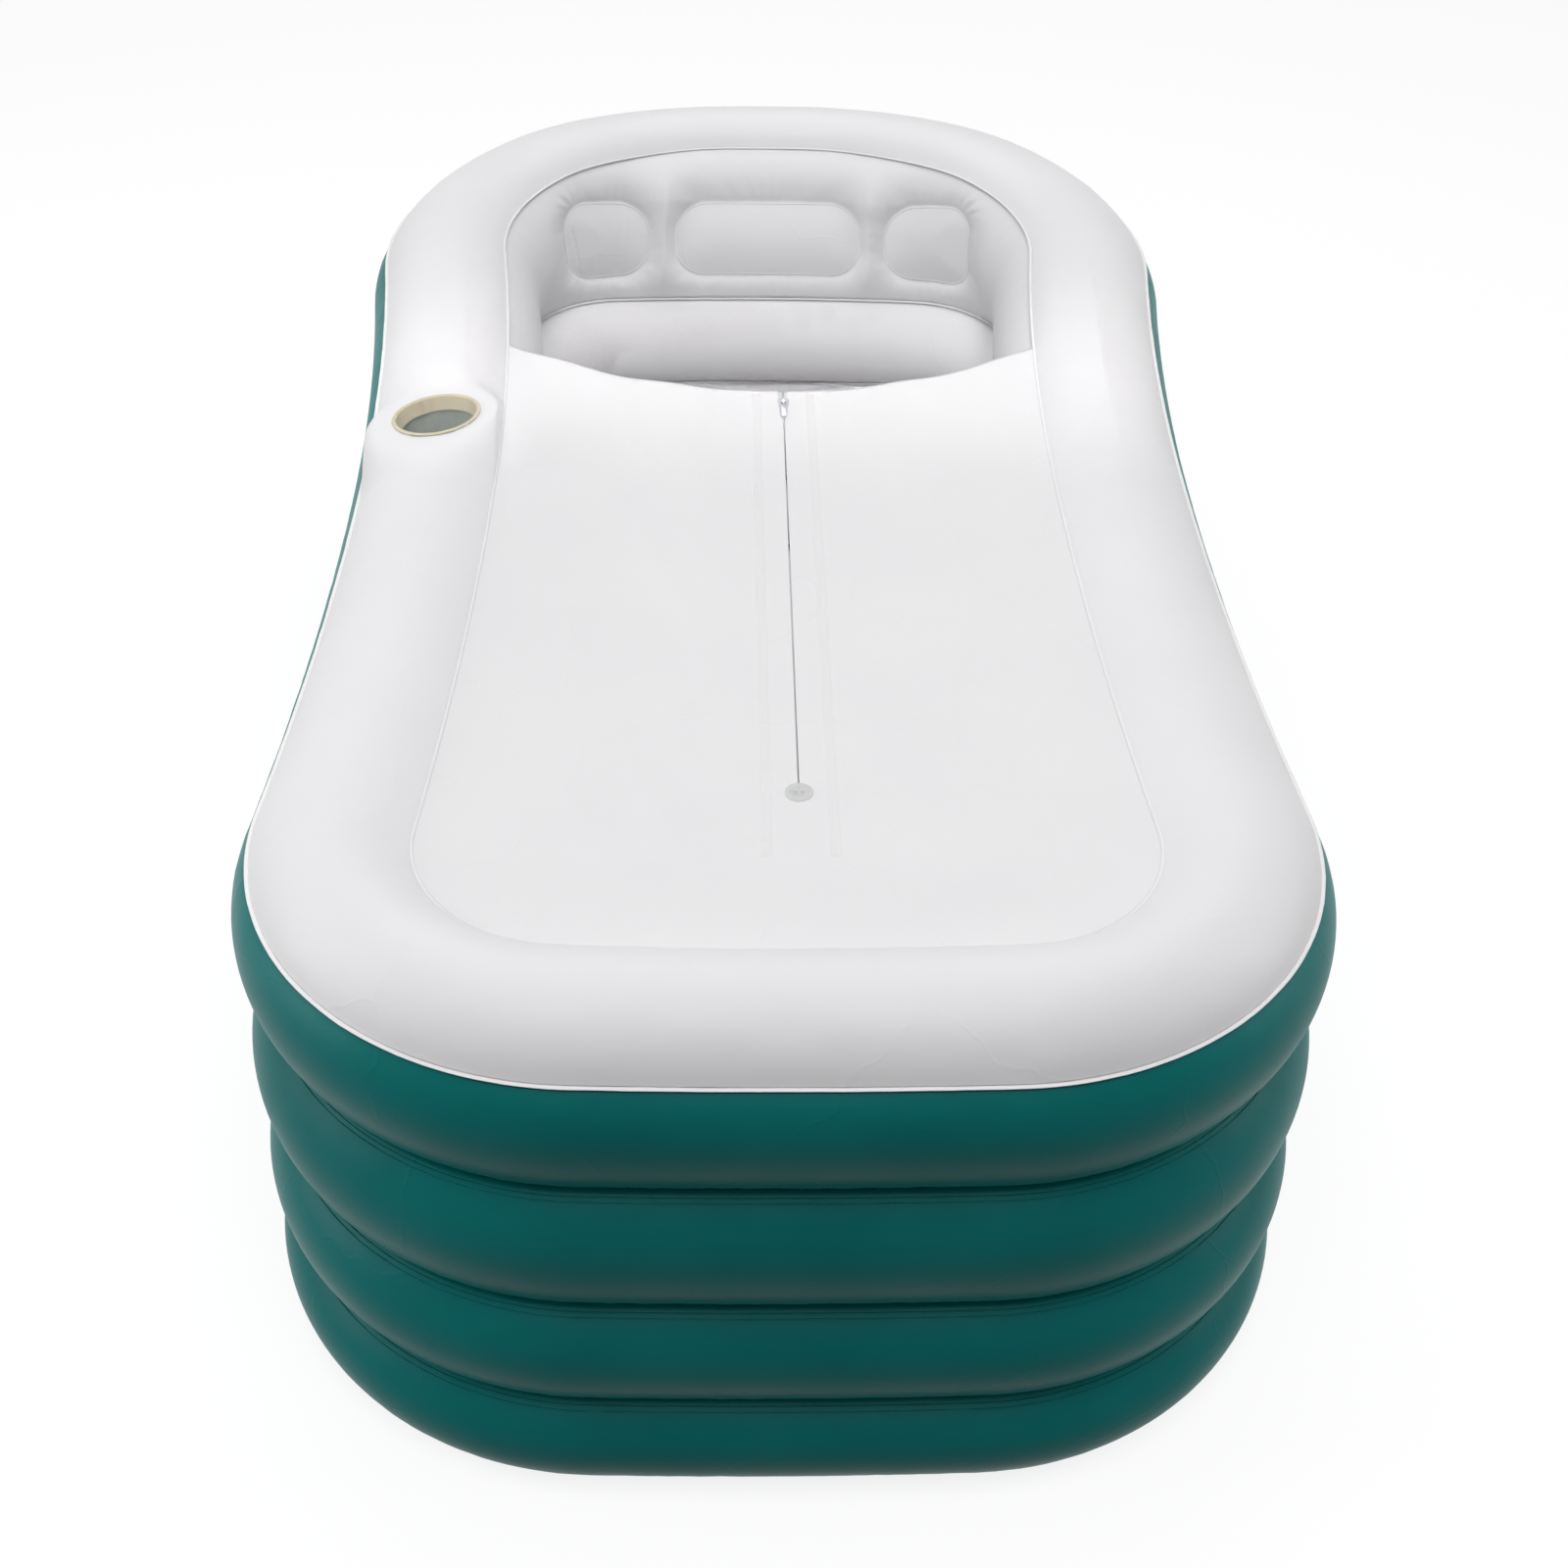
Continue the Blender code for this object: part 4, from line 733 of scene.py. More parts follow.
# Rim: the white top panel domes from the piping over to the seam of the opening, where it ends in a
# narrow flat weld. Round the cup holder it is pulled flat by the collar.
cup_lean = Matrix.Rotation(-math.radians(4), 4, "X") @ Matrix.Rotation(-math.radians(7), 4, "Y")
cup_seat = Matrix.Translation((-0.3140, 0.0240, 0.5020)) @ cup_lean
CUP_TUBE = 0.0390
CUP_FLAT, CUP_EASE = 0.054, 0.040
RIM_SWELL = 0.036


def rim_point(station, share):
    """A point of the rim, from the piping at share 0 to the seam at 1."""
    outer = Vector((*tub_plan.at(station, PIPING_INSET), LEVELS[4] + END_LAYER))
    inner = seam_plan.at(station)
    inner = Vector((*inner, seam_level(inner)))
    point = outer.lerp(inner, share)
    width = (inner - outer).length
    point.z += swell_at(share, RIM_SWELL, width)
    away = (point.xy - cup_seat.translation.xy).length
    flat = 1 - smooth((away - CUP_FLAT) / CUP_EASE)
    if 0 < share < 1:
        seat = cup_seat.inverted() @ point
        point.z -= seat.z * flat
        from_seam = min(share, 1 - share) * width / 0.014
        pucker = noise.noise((point.x * 60, point.y * 60, 7.0)) * from_seam * math.exp(1 - from_seam)
        slow = noise.noise((point.x * 9, point.y * 9, 1.0)) * math.sin(math.pi * share)
        point.z += (0.0006 * pucker + 0.0012 * slow) * (1 - flat)
    return point


rim_shares = [0.5 - 0.5 * math.cos(math.pi * i / 40) for i in range(41)]
rows = []
for station in fine_ring:
    row = [rim_point(station, share) for share in rim_shares]
    level = row[-1].z
    row += [Vector((*seam_plan.at(station, lip), level)) for lip in (0.0012, 0.0026)]
    rows.append(row)
rim_film = film_material("rim film", WHITE_LIGHT, WHITE_DARK, 0.40, grain_depth=0.000010,
                         wave_depth=0.0005, fold_depth=0.00010)
rim = thicken(add_piece("rim_panel", sheet_grid(rows, True), rim_film))
cut_holes(rim, [(cup_seat, CUP_TUBE + FILM_THICKNESS, -0.018, 0.018)])
fit(rim, "white_pvc", "rim_top_panel")


# Piping: the flat weld in which the teal wall, the rim and their edge tape meet. The trimmed edge of
# white film stands out all round as a thin bright line, a little ragged where the knife wandered.
piping_film = film_material("piping film", (0.90, 0.90, 0.90), (0.86, 0.86, 0.86), 0.30,
                            grain_depth=0.000004, wave_depth=0.0001, fold_depth=0.0)
piping = grow("piping", plan_line("piping plan", tub_plan, fine_ring), BEAD_TREE, {
    "Inset": PIPING_INSET, "Height": LEVELS[4], "Half width": 0.0035, "Half thickness": FILM_THICKNESS,
    "Sides": 12, "Ragged": 0.0010, "Seed": 31.0, "Film": piping_film})
fit(piping, "white_pvc", "rim_piping")


# Cup holder: a moulded beige collar dropped into the rim, over a sleeve and a floor of grey film
# that hang in the rim's air chamber. The sleeve wrinkles because it is welded up from a flat strip.
def turned(profile, steps, matrix, ripple=None):
    """Turn a closed profile of (radius, height) points about z; ripple(turn, radius, height) is a
    point's radius where the piece isn't round."""
    bm = bmesh.new()
    rings = []
    for step in range(steps):
        turn = 2 * math.pi * step / steps
        ring = []
        for radius, height in profile:
            if ripple:
                radius = ripple(turn, radius, height)
            point = Vector((radius * math.cos(turn), radius * math.sin(turn), height))
            ring.append(bm.verts.new(matrix @ point))
        rings.append(ring)
    for ring, after in zip(rings, rings[1:] + rings[:1]):
        around = list(zip(ring, after))
        for (a, b), (c, d) in zip(around, around[1:] + around[:1]):
            bm.faces.new((a, b, d, c))
    merge(bm)
    bmesh.ops.recalc_face_normals(bm, faces=bm.faces)
    return bm


def arc_points(centre, radius, first, last, steps):
    """Points of an arc in a profile, by angles in degrees."""
    turns = [math.radians(first + (last - first) * step / steps) for step in range(steps + 1)]
    return [(centre[0] + radius * math.cos(t), centre[1] + radius * math.sin(t)) for t in turns]


def moulded_group():
    """Shader group for moulded plastic and metal: fine texture, drifting tone and fine scratches."""
    size = "NodeSocketFloat"
    group = new_tree(
        "moulded surface", "ShaderNodeTree",
        {"Texture size": (size, 0.0004), "Texture depth": (size, 0.000004),
         "Scratch depth": (size, 0.0)},
        {"Height": size, "Tone": size, "Scratches": size},
    )
    given = put(group, "NodeGroupInput").outputs
    place = put(group, "ShaderNodeTexCoord").outputs["Object"]
    fine = put(group, "ShaderNodeTexNoise", {
        "Vector": place, "Scale": calc(group, "DIVIDE", 1.0, given["Texture size"]), "Detail": 2.0})
    drawn = put(group, "ShaderNodeMapping",
                {"Vector": place, "Scale": (1.0, 14.0, 1.0), "Rotation": (0.0, 0.0, 0.5)})
    scored = put(group, "ShaderNodeTexNoise", {"Vector": drawn.outputs[0], "Scale": 260.0, "Detail": 4.0})
    scratches = put(group, "ShaderNodeMapRange",
                    {"Value": scored.outputs["Fac"], "From Min": 0.62, "From Max": 0.70})
    height = calc(group, "SUBTRACT", calc(group, "MULTIPLY", fine.outputs["Fac"], given["Texture depth"]),
                  calc(group, "MULTIPLY", scratches.outputs["Result"], given["Scratch depth"]))
    tone = put(group, "ShaderNodeTexNoise", {"Vector": place, "Scale": 60.0, "Detail": 3.0})
    put(group, "NodeGroupOutput", {"Height": height, "Tone": tone.outputs["Fac"],
                                   "Scratches": scratches.outputs["Result"]})
    return group


MOULDED = moulded_group()


def moulded_material(name, light, dark, roughness, metallic=0.0, alpha=1.0, **surface):
    """Moulded plastic or metal, duller in its scratches."""
    return surface_material(name, light, dark, MOULDED, "Scratches", (roughness, roughness + 0.18), surface,
                            Metallic=metallic, Alpha=alpha)


def wrinkled(turn, radius, height):
    """Long upright wrinkles that come and go round the sleeve."""
    slow = noise.noise((math.cos(turn) * 3, math.sin(turn) * 3, height * 14))
    fine = noise.noise((math.cos(turn) * 9, math.sin(turn) * 9, height * 20))
    return radius - 0.0012 * abs(slow) - 0.0006 * abs(fine)


beige_plastic = moulded_material("beige plastic", (0.660, 0.600, 0.455), (0.630, 0.575, 0.440), 0.38,
                                 texture_depth=0.000005, scratch_depth=0.000002)
sleeve_film = film_material("sleeve film", (0.520, 0.560, 0.525), (0.470, 0.510, 0.480), 0.35,
                            grain_depth=0.000008, wave_size=0.02, wave_depth=0.0002, fold_spacing=0.05,
                            fold_depth=0.00002)
SLEEVE_TOP, SLEEVE_DEPTH = -0.0118, 0.0782
bore = 0.0374
lip = CUP_TUBE + 0.0026
collar_profile = [(bore - 0.0024, -0.0115), (CUP_TUBE, -0.0115), (CUP_TUBE, 0.0006),
                  (lip - 0.0003, 0.0006)]
collar_profile += arc_points((lip - 0.0008, 0.0014), 0.0008, -60, 90, 8)
collar_profile += [(CUP_TUBE + 0.0002, 0.0022), (CUP_TUBE - 0.0002, 0.0012), (CUP_TUBE - 0.0007, 0.0012)]
collar_profile += arc_points((bore + 0.0004, 0.0014), 0.0004, 90, 180, 6)
collar_profile += [(bore - 0.0001, 0.0004), (bore - 0.0022, -0.0108)]
collar = add_piece("cup_collar", turned(collar_profile, 96, cup_seat), beige_plastic)
fit(collar, "beige_plastic", "cup_holder_collar")
wall = [(CUP_TUBE, SLEEVE_TOP - SLEEVE_DEPTH * step / 40) for step in range(41)]
inside = [(radius - FILM_THICKNESS, height) for radius, height in reversed(wall)]
sleeve = add_piece("cup_sleeve", turned(wall + inside, 128, cup_seat, ripple=wrinkled), sleeve_film)
fit(sleeve, "grey_pvc", "cup_holder_sleeve")
disc = [(0, -0.0913), (CUP_TUBE, -0.0913), (CUP_TUBE, -0.0903), (0.0352, -0.0903), (0.0345, -0.0899),
        (0.0330, -0.0899), (0.0323, -0.0903), (0, -0.0903)]
cup_floor = add_piece("cup_floor", turned(disc, 96, cup_seat), sleeve_film)
fit(cup_floor, "grey_pvc", "cup_holder_floor")


# Cover: a sheet of white film over the foot end, welded to the rim's seam on three sides, with a
# free edge towards the head. It hangs a little between the welds and is slit for the zip.
COVER_LEVEL = SEAM_LEVEL - LAYER
COVER_SAG = 0.010
ZIP_ACROSS = 0.010
ZIP_END = -0.480
FREE_EDGE, FREE_CORNER = 0.140, 0.215
FOOT = 0.673


def cover_level(place, share, past_seam=1.0):
    """Height of the cover's middle surface, from the zip at 0 to the seam at 1."""
    sag = COVER_SAG * smooth((place + FOOT) / (FOOT - 0.560))
    return COVER_LEVEL - sag * (1 - (share * past_seam) ** 2)


def cover_point(middle, edge, share):
    """A point of the cover between the zip and the seam, with its sag and its small waves."""
    reach = (edge - middle).length
    x = middle.x + (edge.x - middle.x) * share
    y = middle.y + (edge.y - middle.y) * share * share
    z = cover_level(middle.y, share, reach / (reach - WELD_LIP))
    loose = smooth((abs(x - ZIP_ACROSS) - 0.036) / 0.05) * smooth((1 - share) * reach / 0.03)
    to_edge = FREE_EDGE - middle.y
    flutter = math.sin(x * 58 + 0.8) * 0.0012 * math.exp(-to_edge / 0.05)
    slow = noise.noise((x * 7, y * 5, 2.0)) * 0.0016
    tense = noise.noise((x * 34 + y * 12, y * 9, 4.0)) * 0.0005
    corner = math.exp(-(((x - 0.185) / 0.06) ** 2 + ((y + 0.56) / 0.07) ** 2))
    crease = math.cos((x * 0.8 - y * 0.6) * 190) * 0.0006 * corner
    return Vector((x, y, z + loose * (flutter + slow + tense + crease)))


def half_slot(place):
    """Half the width of the slit at a place along the zip; it opens at its mouth."""
    if place <= ZIP_END + 0.0001:
        return 0.0
    return 0.0006 + 0.0038 * smooth((place - 0.1245) / 0.004)


stretch = (FREE_EDGE + FOOT) / (FREE_CORNER + FOOT)
across_shares = sorted({*(i / 64 for i in range(65)), 0.004, 0.0085})
bm = bmesh.new()
for side in (-1, 1):
    start = seam_plan.station_at(side, FREE_CORNER)
    edge_stations = [(side, 0, start[2] + (1 - start[2]) * i / 50) for i in range(51)]
    edge_stations += [(side, 1, 1 - 0.47 * i / 60) for i in range(1, 61)]
    edge_stations += [(side, 1, 0.53 - 0.37 * i / 40) for i in range(1, 41)]
    rows = []
    ends_at = None
    for station in edge_stations:
        edge = seam_plan.at(station, -WELD_LIP)
        place = FREE_EDGE + (edge.y - FREE_CORNER) * stretch
        if ends_at is None and place < ZIP_END:
            place = ZIP_END
            ends_at = station
        middle = Vector((ZIP_ACROSS + side * half_slot(place), place))
        rows.append([cover_point(middle, edge, share) for share in across_shares])
    last = []
    for share in across_shares:
        foot = seam_plan.at((side, 1, 0.16 * share), -WELD_LIP)
        last.append(Vector((foot.x + ZIP_ACROSS * (1 - share), foot.y, COVER_LEVEL)))
    rows.append(last)
    half = sheet_grid(rows)
    if side < 0:
        bmesh.ops.reverse_faces(half, faces=half.faces)
    mesh = bpy.data.meshes.new("cover half")
    half.to_mesh(mesh)
    half.free()
    bm.from_mesh(mesh)
    bpy.data.meshes.remove(mesh)
bmesh.ops.remove_doubles(bm, verts=bm.verts, dist=MERGE_DISTANCE)
cover_film = film_material("cover film", (0.858, 0.845, 0.852), (0.840, 0.828, 0.838), 0.46,
                           grain_depth=0.000010, wave_depth=0.0003, wave_size=0.07, fold_spacing=0.17,
                           fold_depth=0.00014)
cover = thicken(add_piece("cover", bm, cover_film))
fit(cover, "white_pvc", "cover_sheet")


# Zip: cloth tapes welded under the cover, each with a nylon coil along its edge. Strips of clear
# film are welded over the tapes on top, and a moulded disc closes the zip at its foot end.
def tooth_tree():
    """Stand one bent tooth at every pitch along a line."""
    number = "NodeSocketFloat"
    tree = new_tree(
        "coil", "GeometryNodeTree",
        {"Line": ("NodeSocketGeometry", None), "Pitch": (number, 0.0012), "Width": (number, 0.0022),
         "Thickness": (number, 0.0018), "Wire": (number, 0.00048), "Nylon": ("NodeSocketMaterial", None)},
        {"Coil": "NodeSocketGeometry"},
    )
    given = put(tree, "NodeGroupInput").outputs
    loop = put(tree, "GeometryNodeCurvePrimitiveCircle", {"Resolution": 12, "Radius": 0.5})
    wires = calc(tree, "MULTIPLY", given["Wire"], 2.0)
    size = put(tree, "ShaderNodeCombineXYZ", {
        "X": calc(tree, "SUBTRACT", given["Width"], wires),
        "Y": calc(tree, "SUBTRACT", given["Thickness"], wires), "Z": 1.0})
    loop = put(tree, "GeometryNodeTransform", {"Geometry": loop.outputs["Curve"], "Scale": size.outputs[0],
                                               "Rotation": (math.pi / 2, 0.0, 0.0)}).outputs[0]
    wire = put(tree, "GeometryNodeCurvePrimitiveCircle", {"Resolution": 6, "Radius": given["Wire"]})
    tooth = {"Curve": loop, "Profile Curve": wire.outputs["Curve"]}
    tooth = put(tree, "GeometryNodeCurveToMesh", tooth).outputs[0]
    path = put(tree, "GeometryNodeMeshToCurve", {"Mesh": given["Line"]}).outputs[0]
    points = put(tree, "GeometryNodeCurveToPoints", {"Curve": path, "Length": given["Pitch"]},
                 mode="LENGTH")
    teeth = put(tree, "GeometryNodeInstanceOnPoints",
                {"Points": points.outputs["Points"], "Instance": tooth, "Rotation": (0.0, 0.0, 0.12)})
    return end_tree(tree, teeth.outputs[0], given["Nylon"])


def woven_material(name, light, dark, thread):
    """Plain woven tape: threads over and under, in two directions."""
    material, tree, shader = new_shader(name, Roughness=0.85)
    place = put(tree, "ShaderNodeTexCoord").outputs["Object"]
    threads = [put(tree, "ShaderNodeTexWave", {"Vector": place, "Scale": 0.314 / thread, "Distortion": 0.6},
                   bands_direction=direction).outputs["Fac"] for direction in "XY"]
    weave = calc(tree, "MAXIMUM", *threads)
    colour = put(tree, "ShaderNodeMixRGB", {"Fac": weave, "Color1": (*dark, 1), "Color2": (*light, 1)})
    bump = put(tree, "ShaderNodeBump", {"Height": weave, "Distance": 0.0001, "Strength": 0.7})
    tree.links.new(colour.outputs[0], shader.inputs["Base Color"])
    tree.links.new(bump.outputs["Normal"], shader.inputs["Normal"])
    return material


tape_cloth = woven_material("zip tape", (0.76, 0.76, 0.77), (0.55, 0.55, 0.57), 0.0006)
coil_nylon = moulded_material("coil nylon", (0.92, 0.92, 0.93), (0.88, 0.88, 0.90), 0.35)
disc_plastic = moulded_material("disc plastic", (0.82, 0.83, 0.82), (0.78, 0.79, 0.78), 0.25, alpha=0.55)
clear_film = moulded_material("clear film", (0.95, 0.95, 0.95), (0.92, 0.92, 0.92), 0.22, alpha=0.06)
COIL_TREE = tooth_tree()
STRIP_FOOT, STRIP_HEAD, STRIP_STEPS = -0.556, 0.132, 140
STRIP_ACROSS, STRIP_HALF_WIDTH, STRIP_RISE = 0.026, 0.004, 0.0008
COVER_REACH = 0.255
strip_section = ((-1, 0), (-0.85, 1), (-0.55, 1), (-0.45, 0.2), (0, 0), (0.45, 0.2), (0.55, 1),
                 (0.85, 1), (1, 0))
zip_parts = []
for side, name in ((-1, "left"), (1, "right")):
    zip_parts.append(dress(f"zip_tape_{name}", tape_cloth))
    low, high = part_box(f"zip_coil_{name}")
    line = bpy.data.meshes.new(f"coil line {name}")
    middle = (low + high) / 2
    ends = [(middle.x, y, middle.z) for y in (low.y + 0.001, high.y - 0.001)]
    line.from_pydata(ends, [(0, 1)], [])
    coil = grow(f"zip_coil_{name}_teeth", line, COIL_TREE, {
        "Width": high.x - low.x, "Thickness": high.z - low.z, "Nylon": coil_nylon})
    zip_parts.append(fit(coil, "zip_coil", f"zip_coil_{name}"))
    middle = ZIP_ACROSS + side * STRIP_ACROSS
    rows = []
    for step in range(STRIP_STEPS + 1):
        y = STRIP_FOOT + (STRIP_HEAD - STRIP_FOOT) * step / STRIP_STEPS
        wander = 0.0004 * noise.noise((y * 30, side * 4.0, 0.0))
        row = []
        for offset, bulge in strip_section:
            x = middle + offset * STRIP_HALF_WIDTH
            share = abs(x - ZIP_ACROSS) / COVER_REACH
            row.append((x + wander, y, cover_level(y, share) + STRIP_RISE + 0.0003 * bulge))
        rows.append(row)
    strip = thicken(add_piece(f"weld_strip_{name}", sheet_grid(rows), clear_film), 0.0004)
    zip_parts.append(fit(strip, "clear_pvc", f"zip_weld_strip_{name}"))
low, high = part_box("zip_end_patch")
disc_place = Matrix.Translation((ZIP_ACROSS, ZIP_END, low.z))
profile = [(0, 0), (0.0110, 0), (0.0110, 0.0005), (0.0106, 0.0008), (0.0082, 0.0008), (0.0079, 0.0012),
           (0.0070, 0.0013), (0.0064, 0.0012), (0.0060, 0.0008), (0, 0.0008)]
end_disc = add_piece("zip_end_disc", turned(profile, 64, disc_place), disc_plastic)
zip_parts.append(fit(end_disc, "clear_pvc", "zip_end_patch"))
for side, name in ((-1, "left"), (1, "right")):
    stud_place = disc_place @ Matrix.Translation((side * 0.0026, 0, 0.0008))
    stud = [(0, 0), (0.0011, 0), (0.0010, 0.0006), (0.0006, 0.0009), (0, 0.0010)]
    stud = add_piece(f"zip_end_stud_{name}", turned(stud, 20, stud_place), disc_plastic)
    zip_parts.append(fit(stud, "clear_pvc"))


# Slider and puller: die-cast zinc, tumbled and plated. The slider's two plates run above and below
# the tapes, joined by a wedge, and a bridge on the top plate holds the puller, which lies footwards.
def loft(bm, rings, closed=False):
    """Skin rings of equal length in turn; the ends are capped unless it closes on itself."""
    rows = [[bm.verts.new(point) for point in ring] for ring in rings]
    pairs = list(zip(rows, rows[1:]))
    if closed:
        pairs.append((rows[-1], rows[0]))
    else:
        bm.faces.new(rows[0])
        bm.faces.new(rows[-1])
    for row, after in pairs:
        for corners in zip(row, row[1:] + row[:1], after[1:] + after[:1], after):
            bm.faces.new(corners)


def soft_outline(points, radius, steps=5):
    """Round the corners of a flat outline."""
    made = []
    for index, point in enumerate(points):
        corner = Vector(point)
        before = Vector(points[index - 1]) - corner
        after = Vector(points[(index + 1) % len(points)]) - corner
        first = corner + before.normalized() * min(radius, before.length * 0.45)
        last = corner + after.normalized() * min(radius, after.length * 0.45)
        for step in range(steps + 1):
            share = step / steps
            made.append(first * (1 - share) ** 2 + corner * 2 * share * (1 - share) + last * share ** 2)
    return made


def shrunk(outline, inset):
    """An outline moved inwards by an inset; it runs anticlockwise."""
    made = []
    for index, point in enumerate(outline):
        along = outline[(index + 1) % len(outline)] - outline[index - 1]
        made.append(point + Vector((-along.y, along.x)).normalized() * inset)
    return made


def plate_rings(outline, low_z, high_z, round_off):
    """Rings that make a plate with rounded edges."""
    edge = ((round_off, 0), (round_off * 0.3, round_off * 0.3), (0, round_off))
    steps = [(inset, low_z + rise) for inset, rise in edge]
    steps += [(inset, high_z - rise) for inset, rise in reversed(edge)]
    return [[(*point, level) for point in shrunk(outline, inset)] for inset, level in steps]


def placed(bm, matrix):
    """Move a mesh to its place, with its faces turned outwards."""
    bmesh.ops.transform(bm, matrix=matrix, verts=bm.verts)
    bmesh.ops.recalc_face_normals(bm, faces=bm.faces)
    return bm


slider_metal = moulded_material("slider metal", (0.60, 0.62, 0.66), (0.52, 0.54, 0.58), 0.30, metallic=1.0,
                                texture_depth=0.000003, scratch_depth=0.000004)
low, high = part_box("zip_slider")
slider_axis = Matrix.Translation((ZIP_ACROSS, 0.116, 0))
top_plate = high.z - 0.0042
bm = bmesh.new()
shield = soft_outline([(-0.0038, -0.0075), (0.0038, -0.0075), (0.0060, 0.0040), (0.0042, 0.0075),
                       (-0.0042, 0.0075), (-0.0060, 0.0040)], 0.0018)
loft(bm, plate_rings(shield, top_plate - 0.0012, top_plate, 0.0004))
loft(bm, plate_rings(shield, low.z, low.z + 0.0012, 0.0004))
wedge = [Vector(point) for point in ((-0.00045, 0.0040), (0, 0.0035), (0.00045, 0.0040), (0.00045, 0.0070),
                                     (-0.00045, 0.0070))]
loft(bm, [[(*point, level) for point in wedge] for level in (low.z + 0.001, top_plate - 0.001)])
for side in (-1, 1):
    corners = ((0.0040, -0.0055), (0.0052, -0.0055), (0.0052, 0.0050), (0.0040, 0.0050))
    wall = [(side * x, y) for x, y in corners]
    loft(bm, [[(*point, level) for point in wall] for level in (low.z + 0.001, low.z + 0.0030)])
bridge_path = [(-0.0041, -0.0003), (-0.0041, 0.0018), (-0.0036, 0.0029), (-0.0026, 0.0035), (0, 0.0037),
               (0.0026, 0.0035), (0.0036, 0.0029), (0.0041, 0.0018), (0.0041, -0.0003)]
rings = []
for index, (along, rise) in enumerate(bridge_path):
    before, after = bridge_path[max(index - 1, 0)], bridge_path[min(index + 1, 8)]
    path = Vector((after[0] - before[0], after[1] - before[1])).normalized()
    section = soft_outline([(-0.0009, -0.0005), (0.0009, -0.0005), (0.0009, 0.0005), (-0.0009, 0.0005)],
                           0.0003, 3)
    rings.append([(point.x, along - path.y * point.y, top_plate + rise + path.x * point.y)
                  for point in section])
loft(bm, rings)
slider = add_piece("slider", placed(bm, slider_axis), slider_metal)
fit(slider, "slider_metal", "zip_slider", body="zip_slider")
low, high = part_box("zip_puller")
bm = bmesh.new()
tab = soft_outline([(-0.0040, 0.0008), (-0.0040, -0.0070), (-0.0027, -0.0287), (-0.0014, -0.0300),
                    (0.0014, -0.0300), (0.0027, -0.0287), (0.0040, -0.0070), (0.0040, 0.0008)], 0.0012, 5)
eye = soft_outline([(-0.0024, -0.0008), (-0.0024, -0.0054), (-0.0023, -0.0054), (-0.0012, -0.0054),
                    (0.0012, -0.0054), (0.0023, -0.0054), (0.0024, -0.0054), (0.0024, -0.0008)], 0.0006, 5)
middle = (low.z + high.z) / 2
rings = []
for outline, inset, rise in (
        (tab, 0.0003, -0.0006), (tab, 0, -0.0003), (tab, 0, 0.0003), (tab, 0.0003, 0.0006),
        (eye, -0.0003, 0.0006), (eye, 0, 0.0003), (eye, 0, -0.0003), (eye, -0.0003, -0.0006)):
    rings.append([(*point, middle + rise) for point in shrunk(outline, inset)])
loft(bm, rings, closed=True)
corners = [(-0.0019, -0.0275), (0.0019, -0.0275), (0.0028, -0.0095), (-0.0028, -0.0095)]
ridge = soft_outline(corners, 0.0010)
ridge_rings = ((ridge, 0.0004), (ridge, 0.0007), (shrunk(ridge, 0.0003), 0.0009))
loft(bm, [[(*point, middle + rise) for point in outline] for outline, rise in ridge_rings])
puller = add_piece("puller", placed(bm, slider_axis), slider_metal)
fit(puller, "slider_metal", "zip_puller", body="zip_puller")
zip_parts += [slider, puller]


# Valves: soft clear plastic, one for each chamber at the head's left corner. The flange is welded to
# the film, the neck takes a screw cap with ribs, and a bar stands across the cap to turn it by.
def cap_mesh(seat, radius, thickness, stem_radius, stem_end, ribs):
    """A cap on its seat with a stem below and a grip bar on top; its axis is z."""
    top = seat + thickness

    def flutes(turn, at_radius, height):
        if ribs and at_radius > radius - 0.0005:
            return at_radius - 0.0005 * abs(math.sin(turn * ribs / 2))
        return at_radius

    profile = [(0, stem_end), (stem_radius - 0.0007, stem_end), (stem_radius, stem_end + 0.0007),
               (stem_radius, seat), (radius - 0.0006, seat), (radius, seat + 0.0005), (radius, top - 0.0009),
               (radius - 0.0003, top - 0.0003), (radius - 0.0009, top), (radius - 0.0026, top),
               (radius - 0.0032, top - 0.0005), (0, top - 0.0005)]
    bm = turned(profile, 144, Matrix(), ripple=flutes)
    half = radius - 0.0020
    bar = soft_outline([(-0.0015, -half), (0.0015, -half), (0.0015, half), (-0.0015, half)], 0.0012)
    loft(bm, plate_rings(bar, top - 0.0010, top + 0.0030, 0.0007))
    return bm


